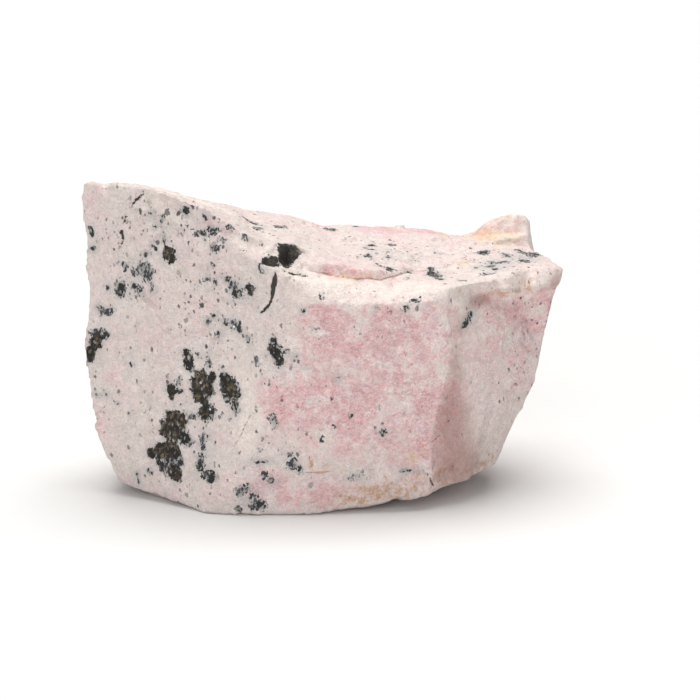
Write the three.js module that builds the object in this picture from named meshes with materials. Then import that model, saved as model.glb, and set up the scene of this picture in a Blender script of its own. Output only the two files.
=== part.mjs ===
// A rough hand specimen of pink and cream manganese-carbonate stone with dark spots.
// It is one broken piece of rock, so it is one closed solid in one mesh.
// Millimetres, +Z up. Origin: middle of the box on the plane that the stone stands on.
// X runs along its long side, -Y is its front, +Y its back.
import * as THREE from "three";
import { ImprovedNoise } from "three/addons/math/ImprovedNoise.js";
import { TessellateModifier } from "three/addons/modifiers/TessellateModifier.js";
import { mergeVertices } from "three/addons/utils/BufferGeometryUtils.js";

// Driving dimensions: the box of the finished stone.
const WIDTH = 52;
const DEPTH = 27.2;
const HEIGHT = 34.8;

// How finely the facets are divided, and how rough their breakage is.
const LONGEST_EDGE = 2.5;
const SPLIT_ROUNDS = 8;
const WAVES = { size: 9, height: 0.3 }; // slow swells of a broken face
const CHIPS = { size: 3.4, height: 0.25 }; // small conchoidal chips
const BACK_WAVES = { size: 7, height: 1.1 }; // deeper breakage low on the back
const BACK_RANGE = { near: 3, far: 11, top: 25, under: 20 };
const FOOT_BAND = 1.2; // the roughness fades out over this height above the foot
const MERGE = 1e-4;

// Corners of the broken facets, [x, y, z] in millimetres, in the order they are met.
const CORNERS = {
  // left edge, from the crest down to the foot
  leftTop: [-25.8, -3.3, 34.1],
  leftHigh: [-26.0, -3.7, 30.9],
  leftNotch: [-25.8, -3.3, 28.1],
  leftLip: [-26.2, -3.9, 27.0],
  leftMid: [-25.4, -4.4, 20.3],
  leftBelly: [-25.7, -5.0, 14.0],
  leftLow: [-25.0, -4.6, 7.3],
  leftHeel: [-24.1, -4.6, 5.5],
  leftFoot: [-22.5, -4.4, 1.4],

  // crest at the upper left, and the brow that falls from it to the ridge
  crestHump: [-24.8, -3.6, 34.5],
  crestNick: [-23.3, -4.2, 34.2],
  crestBump: [-22.7, -4.7, 34.7],
  brow0: [-21.8, -5.3, 34.3],
  brow1: [-19.0, -6.5, 34.4],
  brow2: [-16.3, -8.2, 33.8],
  brow3: [-12.7, -9.8, 33.1],
  brow4: [-10.0, -10.8, 31.7],
  brow5: [-8.0, -10.6, 30.4],
  brow6: [-5.7, -8.4, 28.8],

  // groove under the brow, and the shelf below the groove
  groove1: [-15.4, -7.9, 32.2],
  groove2: [-11.7, -9.5, 30.9],
  groove3: [-8.8, -10.7, 29.7],
  shelf1: [-14.6, -9.0, 30.4],
  shelf2: [-10.8, -10.8, 30.2],
  shelf3: [-7.9, -11.9, 29.0],

  // hollow at the head of the ridge, with the thin ledge in front of it
  ledgeTip: [-7.5, -12.4, 28.3],
  hollowLeft: [-4.9, -11.3, 28.2],
  hollowTop: [-4.0, -7.4, 28.4],
  hollowRight: [-2.8, -6.8, 27.6],
  hollowLow: [-2.9, -10.1, 27.1],
  hollowSill: [-4.3, -11.8, 27.2],
  hollowDeep: [-3.6, -8.0, 26.3],

  // inside of the large left front face
  leftFace1: [-21.9, -5.8, 21.3],
  leftFace2: [-15.5, -8.6, 19.8],
  leftFace3: [-21.0, -6.3, 9.5],
  leftFace4: [-15.4, -9.1, 8.5],

  // ridge between the left and right front faces
  ridge0: [-5.3, -12.7, 27.0],
  ridge1: [-5.1, -13.0, 24.1],
  ridge2: [-5.5, -13.3, 19.2],
  ridge3: [-5.8, -13.4, 15.9],
  ridge4: [-5.8, -13.5, 12.3],
  ridge5: [-7.0, -13.4, 8.4],
  ridge6: [-8.7, -13.1, 5.2],
  ridge7: [-11.9, -12.2, 1.9],

  // far side of the smooth chip beside the ridge
  chip1: [-8.6, -12.7, 10.5],
  chip2: [-10.7, -12.2, 7.8],
  chip3: [-11.7, -12.0, 4.5],

  // rounded lip over the right front face
  lip1: [-1.6, -12.1, 25.5],
  lip2: [2.9, -11.9, 24.1],
  lip3: [7.3, -11.5, 23.8],
  lip4: [11.2, -11.2, 24.0],
  lip5: [13.4, -10.4, 24.5],
  underLip0: [-1.2, -12.9, 24.2],
  underLip1: [3.1, -12.8, 23.0],
  underLip2: [7.3, -12.4, 23.1],
  underLip3: [11.4, -11.9, 23.4],

  // right front face and the pinker band along its bottom
  rightFace1: [-1.2, -13.1, 18.8],
  rightFace2: [5.1, -12.5, 18.8],
  rightFace3: [0.8, -13.4, 12.2],
  rightFace4: [7.2, -12.4, 11.4],
  band1: [-2.5, -13.3, 4.0],
  band2: [2.3, -12.9, 4.0],
  band3: [8.2, -12.1, 4.0],

  // corner edge between the right front face and the right side
  corner0: [13.4, -11.3, 23.5],
  corner1: [13.5, -11.4, 19.0],
  corner2: [12.5, -11.3, 12.5],
  corner3: [11.8, -11.2, 7.4],
  corner4: [11.6, -10.8, 2.5],

  // step across the top, from the hollow to the right
  stepTop0: [-2.5, -8.9, 26.9],
  stepTop1: [0.5, -8.1, 26.6],
  stepTop2: [3.5, -9.3, 26.4],
  stepTop3: [5.8, -8.5, 26.0],
  stepTop4: [7.5, -6.0, 25.1],
  stepFoot0: [-2.0, -9.4, 26.3],
  stepFoot1: [0.4, -8.5, 25.3],
  stepFoot2: [3.6, -9.7, 25.1],
  stepFoot3: [6.2, -8.9, 24.9],
  stepFoot4: [7.9, -6.2, 24.6],
  seam1: [9.6, -3.6, 24.5],
  seam2: [11.8, -0.5, 24.7],
  seam3: [15.0, 4.0, 25.0],
  topMiddle: [3.0, 2.5, 25.9],

  // rear edge of the top, from the crest to the block
  rear0: [-21.0, -1.5, 33.6],
  rear1: [-19.3, 2.0, 32.5],
  rear2: [-13.5, 7.5, 29.7],
  rear3: [-9.2, 10.0, 27.7],
  rear4: [-2.6, 11.6, 26.6],
  rear5: [0.3, 12.0, 25.6],
  rear6: [3.3, 12.2, 25.5],
  rear7: [6.1, 12.4, 26.0],
  rear8: [10.2, 12.3, 25.2],
  rear9: [12.8, 12.0, 24.8],
  rear10: [14.6, 11.4, 24.6],
  rear11: [16.7, 11.0, 25.1],

  // raised block at the back right
  blockLeft: [18.8, 10.4, 26.7],
  blockTop: [20.9, 9.6, 27.5],
  blockRight: [22.3, 9.0, 27.4],
  blockSide: [22.6, 8.2, 25.6],
  blockBackLeft: [18.8, 12.3, 26.1],
  blockBackRight: [22.8, 11.4, 26.3],
  blockFoot0: [16.4, 8.6, 24.9],
  blockFoot1: [18.0, 6.0, 24.8],
  blockFoot2: [20.6, 6.6, 25.5],
  blockFoot3: [22.7, 7.2, 24.4],

  // overhanging lobe at the right end
  sideTop: [16.4, -8.5, 24.4],
  lobe0: [18.8, -6.4, 24.2],
  lobe1: [21.5, -3.8, 24.7],
  lobe2: [23.1, -3.8, 24.2],
  lobe3: [24.7, -2.8, 24.4],
  lobeTip: [26.0, -1.0, 24.2],
  lobeBack: [24.8, 2.2, 24.3],
  lobeHip: [23.5, 4.8, 24.4],
  lobeUnder: [25.2, -1.5, 21.9],
  lobeFront: [22.4, -3.0, 21.2],
  lobeLip0: [19.5, -7.0, 23.4],
  lobeLip1: [21.4, -5.1, 22.7],
  lobeLip2: [23.4, -5.0, 23.0],
  lobeLip3: [25.2, -3.1, 22.9],
  bay: [18.7, -5.4, 22.0],

  // right side
  side1: [18.2, -8.0, 17.0],
  side2: [17.4, -8.2, 10.0],
  sideFoot: [15.7, -8.2, 2.6],
  end1: [23.0, -3.0, 12.0],
  endFoot: [18.6, -4.4, 3.0],

  // left end, behind the left edge
  leftBack0: [-24.4, 1.6, 31.4],
  leftBack1: [-24.8, 3.6, 24.6],
  leftBack2: [-22.8, 6.8, 14.2],
  leftBack3: [-23.4, 3.8, 7.4],
  leftBack4: [-20.2, 2.6, 1.6],

  // back, in columns from left to right, top to bottom
  back11: [-16.8, 8.4, 23.0],
  back12: [-12.6, 12.3, 12.8],
  back13: [-13.2, 8.8, 1.4],
  back21: [-5.8, 13.0, 20.8],
  back22: [-1.4, 13.5, 9.6],
  back23: [-2.4, 11.2, 1.7],
  back31: [9.8, 12.0, 16.2],
  back32: [6.6, 13.0, 6.4],
  back33: [8.2, 10.6, 2.9],
  back41: [16.2, 13.3, 19.6],
  back42: [19.0, 9.4, 9.8],
  back43: [15.8, 8.0, 4.0],
  back51: [23.9, 7.8, 18.0],
  back52: [22.4, 3.4, 11.2],
  back53: [18.8, 2.0, 2.8],

  // bottom edge along the front
  footLeft1: [-19.3, -7.2, 0.7],
  footLeft2: [-16.5, -9.0, 0.4],
  footLeft3: [-13.6, -11.2, 0.3],
  footFront0: [-12.7, -12.1, 0.1],
  footFront1: [-9.8, -12.8, 0.2],
  footFront2: [-7.2, -13.3, 0.1],
  footFront3: [-5.9, -12.9, 0.5],
  footFront4: [-1.3, -12.9, 0.1],
  footFront5: [4.0, -12.2, 1.0],
  footFront6: [8.5, -11.6, 1.3],
  footFront7: [10.8, -11.2, 1.5],

  // flat foot that it rests on
  foot0: [-14.0, -9.8, 0],
  foot1: [-11.8, -11.6, 0],
  foot2: [-7.2, -12.7, 0],
  foot3: [-1.5, -12.2, 0],
  foot4: [5.0, -9.5, 0],
  foot5: [11.5, -4.0, 0],
  foot6: [13.2, 2.2, 0.0],
  foot7: [6.4, 7.0, 0.0],
  foot8: [-3.4, 8.9, 0.0],
  foot9: [-12.4, 6.2, 0.0],
  foot10: [-17.4, 0.8, 0.0],
  foot11: [-18.2, -5.5, 0],
};

// Broken facets, each a loop of corners, anticlockwise as seen from outside.
const LEFT_FRONT = [
  "leftTop leftHigh leftNotch brow0 crestBump crestNick crestHump",
  "leftNotch leftLip leftMid leftFace1 shelf1 groove1 brow1 brow0",
  "brow1 groove1 groove2 groove3 brow5 brow4 brow3 brow2",
  "groove1 shelf1 shelf2 shelf3 groove3 groove2",
  "shelf1 leftFace2 ridge1 ridge0 ledgeTip shelf3 shelf2",
  "leftFace1 leftFace2 shelf1",
  "leftMid leftBelly leftLow leftFace3 leftFace2 leftFace1",
  "leftFace2 leftFace3 leftFace4 chip2 chip1 ridge3 ridge2 ridge1",
  "leftLow leftHeel leftFoot footLeft1 footLeft2 footLeft3 ridge7 chip3 chip2 leftFace4 leftFace3",
  "chip1 chip2 chip3 ridge7 ridge6 ridge5 ridge4 ridge3",
];

const HOLLOW = [
  "groove3 shelf3 ledgeTip hollowLeft brow6 brow5",
  "brow6 hollowLeft hollowTop",
  "hollowLeft hollowSill hollowDeep",
  "hollowSill hollowLow hollowDeep",
  "hollowLow hollowRight hollowDeep",
  "hollowRight hollowTop hollowDeep",
  "hollowTop hollowLeft hollowDeep",
  "ledgeTip ridge0 hollowSill hollowLeft",
  "ridge0 lip1 stepFoot0 hollowLow hollowSill",
];

const RIGHT_FRONT = [
  "ridge0 ridge1 underLip0 lip1",
  "lip1 underLip0 underLip1 lip2",
  "lip2 underLip1 underLip2 lip3",
  "lip3 underLip2 underLip3 lip4",
  "lip4 underLip3 corner0 lip5",
  "ridge1 ridge2 rightFace1 underLip0",
  "underLip0 rightFace1 rightFace2 underLip2 underLip1",
  "underLip2 rightFace2 corner1 corner0 underLip3",
  "ridge2 ridge3 ridge4 rightFace3 rightFace1",
  "rightFace1 rightFace3 rightFace4 rightFace2",
  "rightFace2 rightFace4 corner2 corner1",
  "ridge4 ridge5 ridge6 band1 rightFace3",
  "rightFace3 band1 band2 band3 rightFace4",
  "rightFace4 band3 corner4 corner3 corner2",
  "ridge6 ridge7 footLeft3 footFront0 footFront1 footFront2 footFront3 footFront4 band1",
  "band1 footFront4 footFront5 footFront6 footFront7 corner4 band3 band2",
];

const TOP = [
  "leftTop crestHump crestNick crestBump brow0 rear0 leftBack0",
  "brow0 brow1 brow2 brow3 rear2 rear1 rear0",
  "brow3 brow4 brow5 brow6 rear3 rear2",
  "brow6 hollowTop hollowRight stepTop0 stepTop1 topMiddle rear5 rear4 rear3",
  "stepTop1 stepTop2 stepTop3 stepTop4 seam1 seam2 seam3 topMiddle",
  "topMiddle seam3 blockFoot0 rear11 rear10 rear9 rear8 rear7 rear6 rear5",
  "lip1 lip2 stepFoot2 stepFoot1 stepFoot0",
  "lip2 lip3 stepFoot3 stepFoot2",
  "lip3 lip4 lip5 sideTop seam2 seam1 stepFoot4 stepFoot3",
  "hollowLow stepFoot0 stepTop0 hollowRight",
  "stepFoot0 stepFoot1 stepTop1 stepTop0",
  "stepFoot1 stepFoot2 stepTop2 stepTop1",
  "stepFoot2 stepFoot3 stepTop3 stepTop2",
  "stepFoot3 stepFoot4 stepTop4 stepTop3",
  "stepFoot4 seam1 stepTop4",
  "sideTop lobe0 lobe1 lobe2 lobe3 lobeTip lobeBack lobeHip seam3 seam2",
  "lobeHip blockFoot3 blockFoot2 blockFoot1 blockFoot0 seam3",
  "blockFoot0 blockFoot1 blockFoot2 blockFoot3 blockSide blockRight blockTop blockLeft rear11",
  "blockLeft blockTop blockRight blockBackRight blockBackLeft",
];

const RIGHT_END = [
  "lip5 corner0 corner1 side1 bay lobe0 sideTop",
  "lobe0 lobeLip0 lobeLip1 lobe1",
  "lobe1 lobeLip1 lobeLip2 lobe2",
  "lobe2 lobeLip2 lobeLip3 lobe3",
  "lobe3 lobeLip3 lobeTip",
  "lobe0 bay lobeLip0",
  "lobeLip0 bay lobeFront lobeLip1",
  "lobeLip1 lobeFront lobeLip2",
  "lobeLip2 lobeFront lobeUnder lobeLip3",
  "lobeLip3 lobeUnder lobeTip",
  "corner1 corner2 side2 side1",
  "bay side1 side2 end1 lobeUnder lobeFront",
  "corner2 corner3 corner4 sideFoot side2",
  "side2 sideFoot endFoot end1",
  "lobeTip lobeUnder back51 blockBackRight blockRight blockSide blockFoot3 lobeHip lobeBack",
  "lobeUnder end1 back52 back51",
  "end1 endFoot back53 back52",
];

const LEFT_END = [
  "leftBack0 leftBack1 leftMid leftLip leftNotch leftHigh leftTop",
  "leftBack1 leftBack2 leftBelly leftMid",
  "leftBack2 leftBack3 leftHeel leftLow leftBelly",
  "leftBack3 leftBack4 leftFoot leftHeel",
];

const BACK = [
  "rear2 back11 leftBack1 leftBack0 rear0 rear1",
  "back11 back12 leftBack2 leftBack1",
  "back12 back13 leftBack4 leftBack3 leftBack2",
  "rear4 back21 back11 rear2 rear3",
  "back21 back22 back12 back11",
  "back22 back23 back13 back12",
  "rear8 back31 back21 rear4 rear5 rear6 rear7",
  "back31 back32 back22 back21",
  "back32 back33 back23 back22",
  "blockBackLeft back41 back31 rear8 rear9 rear10 rear11 blockLeft",
  "back41 back42 back32 back31",
  "back42 back43 back33 back32",
  "blockBackRight back51 back41 blockBackLeft",
  "back51 back52 back42 back41",
  "back52 back53 back43 back42",
];

const UNDERSIDE = [
  "leftFoot foot11 foot0 footLeft2 footLeft1",
  "footLeft2 foot0 foot1 footFront0 footLeft3",
  "footFront0 foot1 foot2 footFront2 footFront1",
  "footFront2 foot2 foot3 footFront4 footFront3",
  "footFront4 foot3 foot4 footFront6 footFront5",
  "footFront6 foot4 foot5 sideFoot corner4 footFront7",
  "sideFoot foot5 foot6 back53 endFoot",
  "back53 foot6 foot7 back43",
  "back43 foot7 back33",
  "back33 foot7 foot8 back23",
  "back23 foot8 foot9 back13",
  "back13 foot9 foot10 leftBack4",
  "leftBack4 foot10 foot11 leftFoot",
  "foot11 foot10 foot9 foot8 foot7 foot6 foot5 foot4 foot3 foot2 foot1 foot0",
];

const FACETS = [
  ...LEFT_FRONT,
  ...HOLLOW,
  ...RIGHT_FRONT,
  ...TOP,
  ...RIGHT_END,
  ...LEFT_END,
  ...BACK,
  ...UNDERSIDE,
];

// Newell's normal of a loop that need not be flat.
function loopNormal(loop) {
  const normal = new THREE.Vector3();
  loop.forEach((a, i) => {
    const b = loop[(i + 1) % loop.length];
    normal.x += (a.y - b.y) * (a.z + b.z);
    normal.y += (a.z - b.z) * (a.x + b.x);
    normal.z += (a.x - b.x) * (a.y + b.y);
  });
  return normal.normalize();
}

// Triangles of one facet, cut in the plane that fits its loop best.
function facetTriangles(names) {
  const loop = names.split(" ").map((name) => new THREE.Vector3(...CORNERS[name]));
  const normal = loopNormal(loop);
  const across = loop[1].clone().sub(loop[0]).cross(normal).normalize();
  const along = normal.clone().cross(across);
  const flat = loop.map((p) => new THREE.Vector2(p.dot(across), p.dot(along)));
  return THREE.ShapeUtils.triangulateShape(flat, []).map(([i, j, k]) => {
    const turn = flat[j].clone().sub(flat[i]).cross(flat[k].clone().sub(flat[i]));
    return turn > 0 ? [loop[i], loop[j], loop[k]] : [loop[i], loop[k], loop[j]];
  });
}

// The plain block of facets, divided until no edge is longer than LONGEST_EDGE.
function facetedStone() {
  const points = FACETS.flatMap(facetTriangles).flat();
  const geometry = new THREE.BufferGeometry().setFromPoints(points);
  const divided = new TessellateModifier(LONGEST_EDGE, SPLIT_ROUNDS).modify(geometry);
  return mergeVertices(divided, MERGE);
}

// Smooth noise in three directions, about -1 to 1, that repeats the same way each run.
const noise = new ImprovedNoise();
function drift(p, size) {
  const [x, y, z] = [p.x / size, p.y / size, p.z / size];
  return new THREE.Vector3(
    noise.noise(x + 11.3, y + 4.7, z + 8.1),
    noise.noise(x + 37.9, y + 21.2, z + 5.6),
    noise.noise(x + 3.4, y + 52.8, z + 19.5),
  );
}

// 0 on the front and the rim of the top, up to 1 low on the back.
function backShare(p) {
  const { near, far, top, under } = BACK_RANGE;
  const { smoothstep } = THREE.MathUtils;
  return smoothstep(p.y, near, far) * (1 - smoothstep(p.z, under, top));
}

// Breakage: every point drifts a little, and the foot stays flat.
function roughen(geometry) {
  const position = geometry.getAttribute("position");
  const p = new THREE.Vector3();
  for (let i = 0; i < position.count; i++) {
    p.fromBufferAttribute(position, i);
    const fade = THREE.MathUtils.smoothstep(p.z, 0, FOOT_BAND);
    const shift = drift(p, WAVES.size).multiplyScalar(WAVES.height);
    shift.addScaledVector(drift(p, CHIPS.size), CHIPS.height);
    shift.addScaledVector(drift(p, BACK_WAVES.size), BACK_WAVES.height * backShare(p));
    p.addScaledVector(shift, fade);
    position.setXYZ(i, p.x, p.y, Math.max(p.z, 0));
  }
}

// Brings the stone's box to its driving dimensions, with the foot at z = 0.
function fitToBox(geometry) {
  geometry.computeBoundingBox();
  const { min, max } = geometry.boundingBox;
  geometry.translate(-(min.x + max.x) / 2, -(min.y + max.y) / 2, -min.z);
  geometry.scale(
    WIDTH / (max.x - min.x),
    DEPTH / (max.y - min.y),
    HEIGHT / (max.z - min.z),
  );
}

function makeStone() {
  const geometry = facetedStone();
  roughen(geometry);
  fitToBox(geometry);
  geometry.computeVertexNormals();
  const rock = new THREE.MeshStandardMaterial({
    color: 0xddc6c1,
    roughness: 0.85,
    metalness: 0,
    flatShading: true,
  });
  const mesh = new THREE.Mesh(geometry, rock);
  mesh.name = "stone";
  return mesh;
}

const specimen = new THREE.Group();
specimen.name = "rhodochrosite_specimen";
specimen.add(makeStone());

export default specimen;
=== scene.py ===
"""The rhodochrosite specimen: one broken piece of pink manganese rock with black grains in it.

The stone keeps the shape and place of its frame. This file gives it its broken surface, its
minerals and its light.
"""

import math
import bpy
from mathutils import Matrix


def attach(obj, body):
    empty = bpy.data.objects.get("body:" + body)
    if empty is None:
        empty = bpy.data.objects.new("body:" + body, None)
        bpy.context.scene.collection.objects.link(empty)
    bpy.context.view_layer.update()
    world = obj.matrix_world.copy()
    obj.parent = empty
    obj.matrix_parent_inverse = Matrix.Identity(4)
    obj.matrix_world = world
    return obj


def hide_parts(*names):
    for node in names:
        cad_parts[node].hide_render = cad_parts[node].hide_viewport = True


bl_info = {
    "name": "Rhodochrosite specimen",
    "version": (1, 0, 0),
    "blender": (4, 5, 0),
    "location": "View3D > Sidebar > Specimen",
    "description": "Roughens the broken stone, lays its minerals on it, and sets the stage",
    "category": "Object",
}

import bmesh
import bpy
import numpy as np
from bpy.props import FloatProperty, FloatVectorProperty, IntProperty, PointerProperty
from mathutils import Vector
from mathutils.bvhtree import BVHTree
from mathutils.kdtree import KDTree

MM = 0.001

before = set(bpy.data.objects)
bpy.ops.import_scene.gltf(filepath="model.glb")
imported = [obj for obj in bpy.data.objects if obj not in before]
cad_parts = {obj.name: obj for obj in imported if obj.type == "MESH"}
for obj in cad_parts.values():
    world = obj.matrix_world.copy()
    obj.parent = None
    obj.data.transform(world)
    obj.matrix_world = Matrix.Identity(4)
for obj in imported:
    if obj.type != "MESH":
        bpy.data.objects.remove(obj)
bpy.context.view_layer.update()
CAD_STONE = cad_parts["stone"]

# ---------------------------------------------------------------- where the minerals lie
# Each side of the stone is looked at square on: the axis that runs across, the one that runs up,
# and the direction of the look. Places are millimetres from the frame's origin.
SIDES = {
    "front": ((1, 0, 0), (0, 0, 1), (0, 1, 0)),
    "top": ((1, 0, 0), (0, 1, 0), (0, 0, -1)),
    "back": ((1, 0, 0), (0, 0, 1), (0, -1, 0)),
    "right": ((0, 1, 0), (0, 0, 1), (-1, 0, 0)),
    "left": ((0, 1, 0), (0, 0, 1), (1, 0, 0)),
}

# A grain is (across, up, half width, half height) and, where it leans, its turn in degrees
# anticlockwise.
BLACK = {
    "front": [
        # the blade on the left edge
        (-25.1, 15.7, 0.5, 0.9),
        (-24.5, 17.1, 0.7, 1.0, -30),
        (-23.5, 17.9, 0.7, 0.35, 25),
        # dark bits higher up on the left edge
        (-25.6, 29.2, 0.25, 0.6, 10),
        (-25.5, 27.4, 0.4, 0.25, 15),
        # the round brown grain and what stands above it
        (-16.4, 27.8, 0.65, 0.95, 15),
        (-16.9, 29.5, 0.2, 0.5),
        (-19.0, 27.5, 0.25, 0.25),
        # under the brow
        (-14.6, 32.7, 0.35, 0.45, 30),
        (-12.6, 32.2, 0.2, 0.4, 25),
        (-12.9, 30.6, 0.35, 0.3),
        (-11.8, 30.8, 0.3, 0.3),
        (-10.6, 30.1, 0.3, 0.15),
        (-18.4, 32.0, 0.15, 0.15),
        (-18.0, 30.6, 0.15, 0.15),
        (-18.2, 28.6, 0.15, 0.15),
        (-17.8, 28.4, 0.12, 0.3),
        # the row across the upper left face
        (-23.2, 23.2, 0.25, 0.25),
        (-21.9, 23.1, 0.4, 0.75, -5),
        (-20.3, 23.7, 0.3, 0.3),
        (-19.8, 23.4, 0.35, 0.3),
        (-18.3, 24.2, 0.15, 0.6, 5),
        (-24.0, 21.0, 0.3, 0.2),
        (-22.8, 20.8, 0.25, 0.3),
        # beside the ridge
        (-10.2, 25.8, 0.3, 0.3),
        (-9.2, 24.3, 0.4, 0.5),
        (-7.8, 25.1, 0.55, 0.45),
        (-7.8, 24.5, 0.25, 0.3),
        (-11.5, 25.2, 0.2, 0.25),
        (-10.4, 20.9, 0.35, 0.3),
        (-8.9, 20.4, 0.3, 0.4, 20),
        (-8.1, 19.5, 0.2, 0.45, 25),
        (-12.4, 20.7, 0.15, 0.3),
        (-11.7, 21.4, 0.2, 0.3, 15),
        (-11.2, 19.6, 0.15, 0.3, -10),
        # the group of big grains
        (-14.5, 16.3, 0.5, 1.1, 12),
        (-14.2, 15.4, 0.25, 0.4),
        (-16.3, 12.7, 0.55, 0.8),
        (-15.5, 12.8, 0.5, 0.3),
        (-13.1, 13.6, 1.0, 1.6),
        (-11.9, 14.8, 0.45, 0.7, -10),
        (-12.2, 13.4, 0.5, 0.8),
        (-12.7, 11.0, 0.6, 0.9),
        (-12.1, 10.9, 0.4, 0.6),
        (-10.4, 15.0, 0.6, 0.5),
        (-9.9, 13.7, 0.7, 0.95),
        (-9.2, 13.5, 0.4, 0.6),
        (-10.3, 12.7, 0.3, 0.6),
        (-9.4, 12.0, 0.35, 0.8, 15),
        # the two big brown grains at the lower left
        (-15.8, 9.6, 1.2, 0.95),
        (-16.6, 8.3, 0.95, 1.0),
        (-14.9, 7.8, 0.85, 0.5, -20),
        (-17.3, 5.9, 1.2, 0.85),
        (-18.6, 5.4, 0.5, 0.5),
        (-16.4, 6.6, 1.0, 0.65),
        (-15.8, 6.0, 0.5, 0.7),
        (-17.5, 4.4, 0.4, 0.8),
        (-16.6, 4.8, 0.4, 0.5),
        (-15.4, 5.2, 0.3, 0.6),
        (-16.0, 3.8, 0.65, 0.8),
        # grains near the foot
        (-13.2, 5.0, 0.35, 0.6),
        (-12.0, 4.1, 0.4, 0.75),
        (-20.2, 2.8, 0.2, 0.3),
        (-20.0, 2.0, 0.12, 0.35, 10),
        (-19.0, 3.5, 0.15, 0.2),
        (-2.6, 5.4, 0.35, 0.45, 20),
        (-6.6, 6.1, 0.8, 0.14, 8),
        (8.8, 4.7, 0.7, 0.16, -5),
        (9.8, 4.6, 0.4, 0.08, -5),
        (-8.5, 2.9, 0.3, 0.2),
        (-7.0, 1.2, 0.5, 0.3),
        # small ones far to the left
        (-24.5, 11.1, 0.18, 0.15),
        (-23.4, 11.3, 0.15, 0.15),
        (-23.7, 11.7, 0.1, 0.1),
        # at the ridge and on the pink face
        (-5.3, 19.2, 0.45, 0.7),
        (-5.0, 18.2, 0.5, 0.9, 20),
        (-4.6, 17.5, 0.5, 0.45),
        (-6.1, 17.9, 0.15, 0.15),
        (-3.1, 17.8, 0.15, 0.12),
        (-2.1, 22.9, 0.25, 0.2),
        (1.6, 15.4, 0.2, 0.13),
        (5.7, 23.1, 0.15, 0.1),
        (6.4, 9.2, 0.2, 0.15),
        # on the shaded right flank
        (15.8, 21.2, 0.25, 0.4, -30),
        (15.1, 20.4, 0.2, 0.4, -30),
        # the black in the hollow behind the rim, and its tail
        (-4.0, 28.2, 1.1, 0.9),
        (-4.3, 27.6, 1.1, 0.8),
        (-3.2, 27.9, 0.85, 0.75),
        (-5.4, 28.0, 1.1, 0.6, 12),
        (-6.5, 27.5, 0.35, 0.45, 10),
    ],
    "top": [
        # on the slope behind the brow
        (-7.5, 3.0, 0.9, 0.6, -25),
        (-8.4, 4.2, 0.6, 0.4),
        (-4.6, 3.4, 0.3, 0.4),
        (0.3, 9.5, 0.3, 0.4),
        # the cluster on the middle of the top
        (5.2, 2.8, 0.35, 0.4),
        (4.6, 1.4, 0.25, 0.4),
        (5.2, 0.1, 0.35, 0.5),
        (4.8, -2.3, 0.35, 0.5),
        (5.2, -3.3, 0.2, 0.4),
        (7.3, 3.2, 0.3, 0.3),
        (7.0, -0.6, 0.2, 0.45),
        (7.0, -2.3, 0.2, 0.4),
        (7.1, -5.4, 0.3, 0.8),
        (9.2, -4.5, 0.25, 0.5),
        # the boot
        (11.6, -3.0, 0.35, 0.8),
        (11.6, -4.5, 0.4, 0.8),
        (12.3, -5.2, 0.4, 0.35),
        (12.5, -6.5, 0.45, 0.3, -30),
        # the cluster at the right end
        (17.4, 2.3, 0.35, 0.5),
        (16.5, -2.3, 0.2, 0.5),
        (18.5, -3.4, 0.3, 0.5),
        (19.6, -0.5, 0.3, 0.4),
        (21.5, 5.0, 0.7, 0.5, -35),
        (23.2, 3.6, 0.4, 0.4),
        (21.5, 0.3, 0.35, 0.35),
        # the dark corner of the hollow, seen from above
        (-3.2, -7.8, 0.6, 0.5),
        (-3.7, -8.5, 0.6, 0.5),
    ],
}

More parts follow.
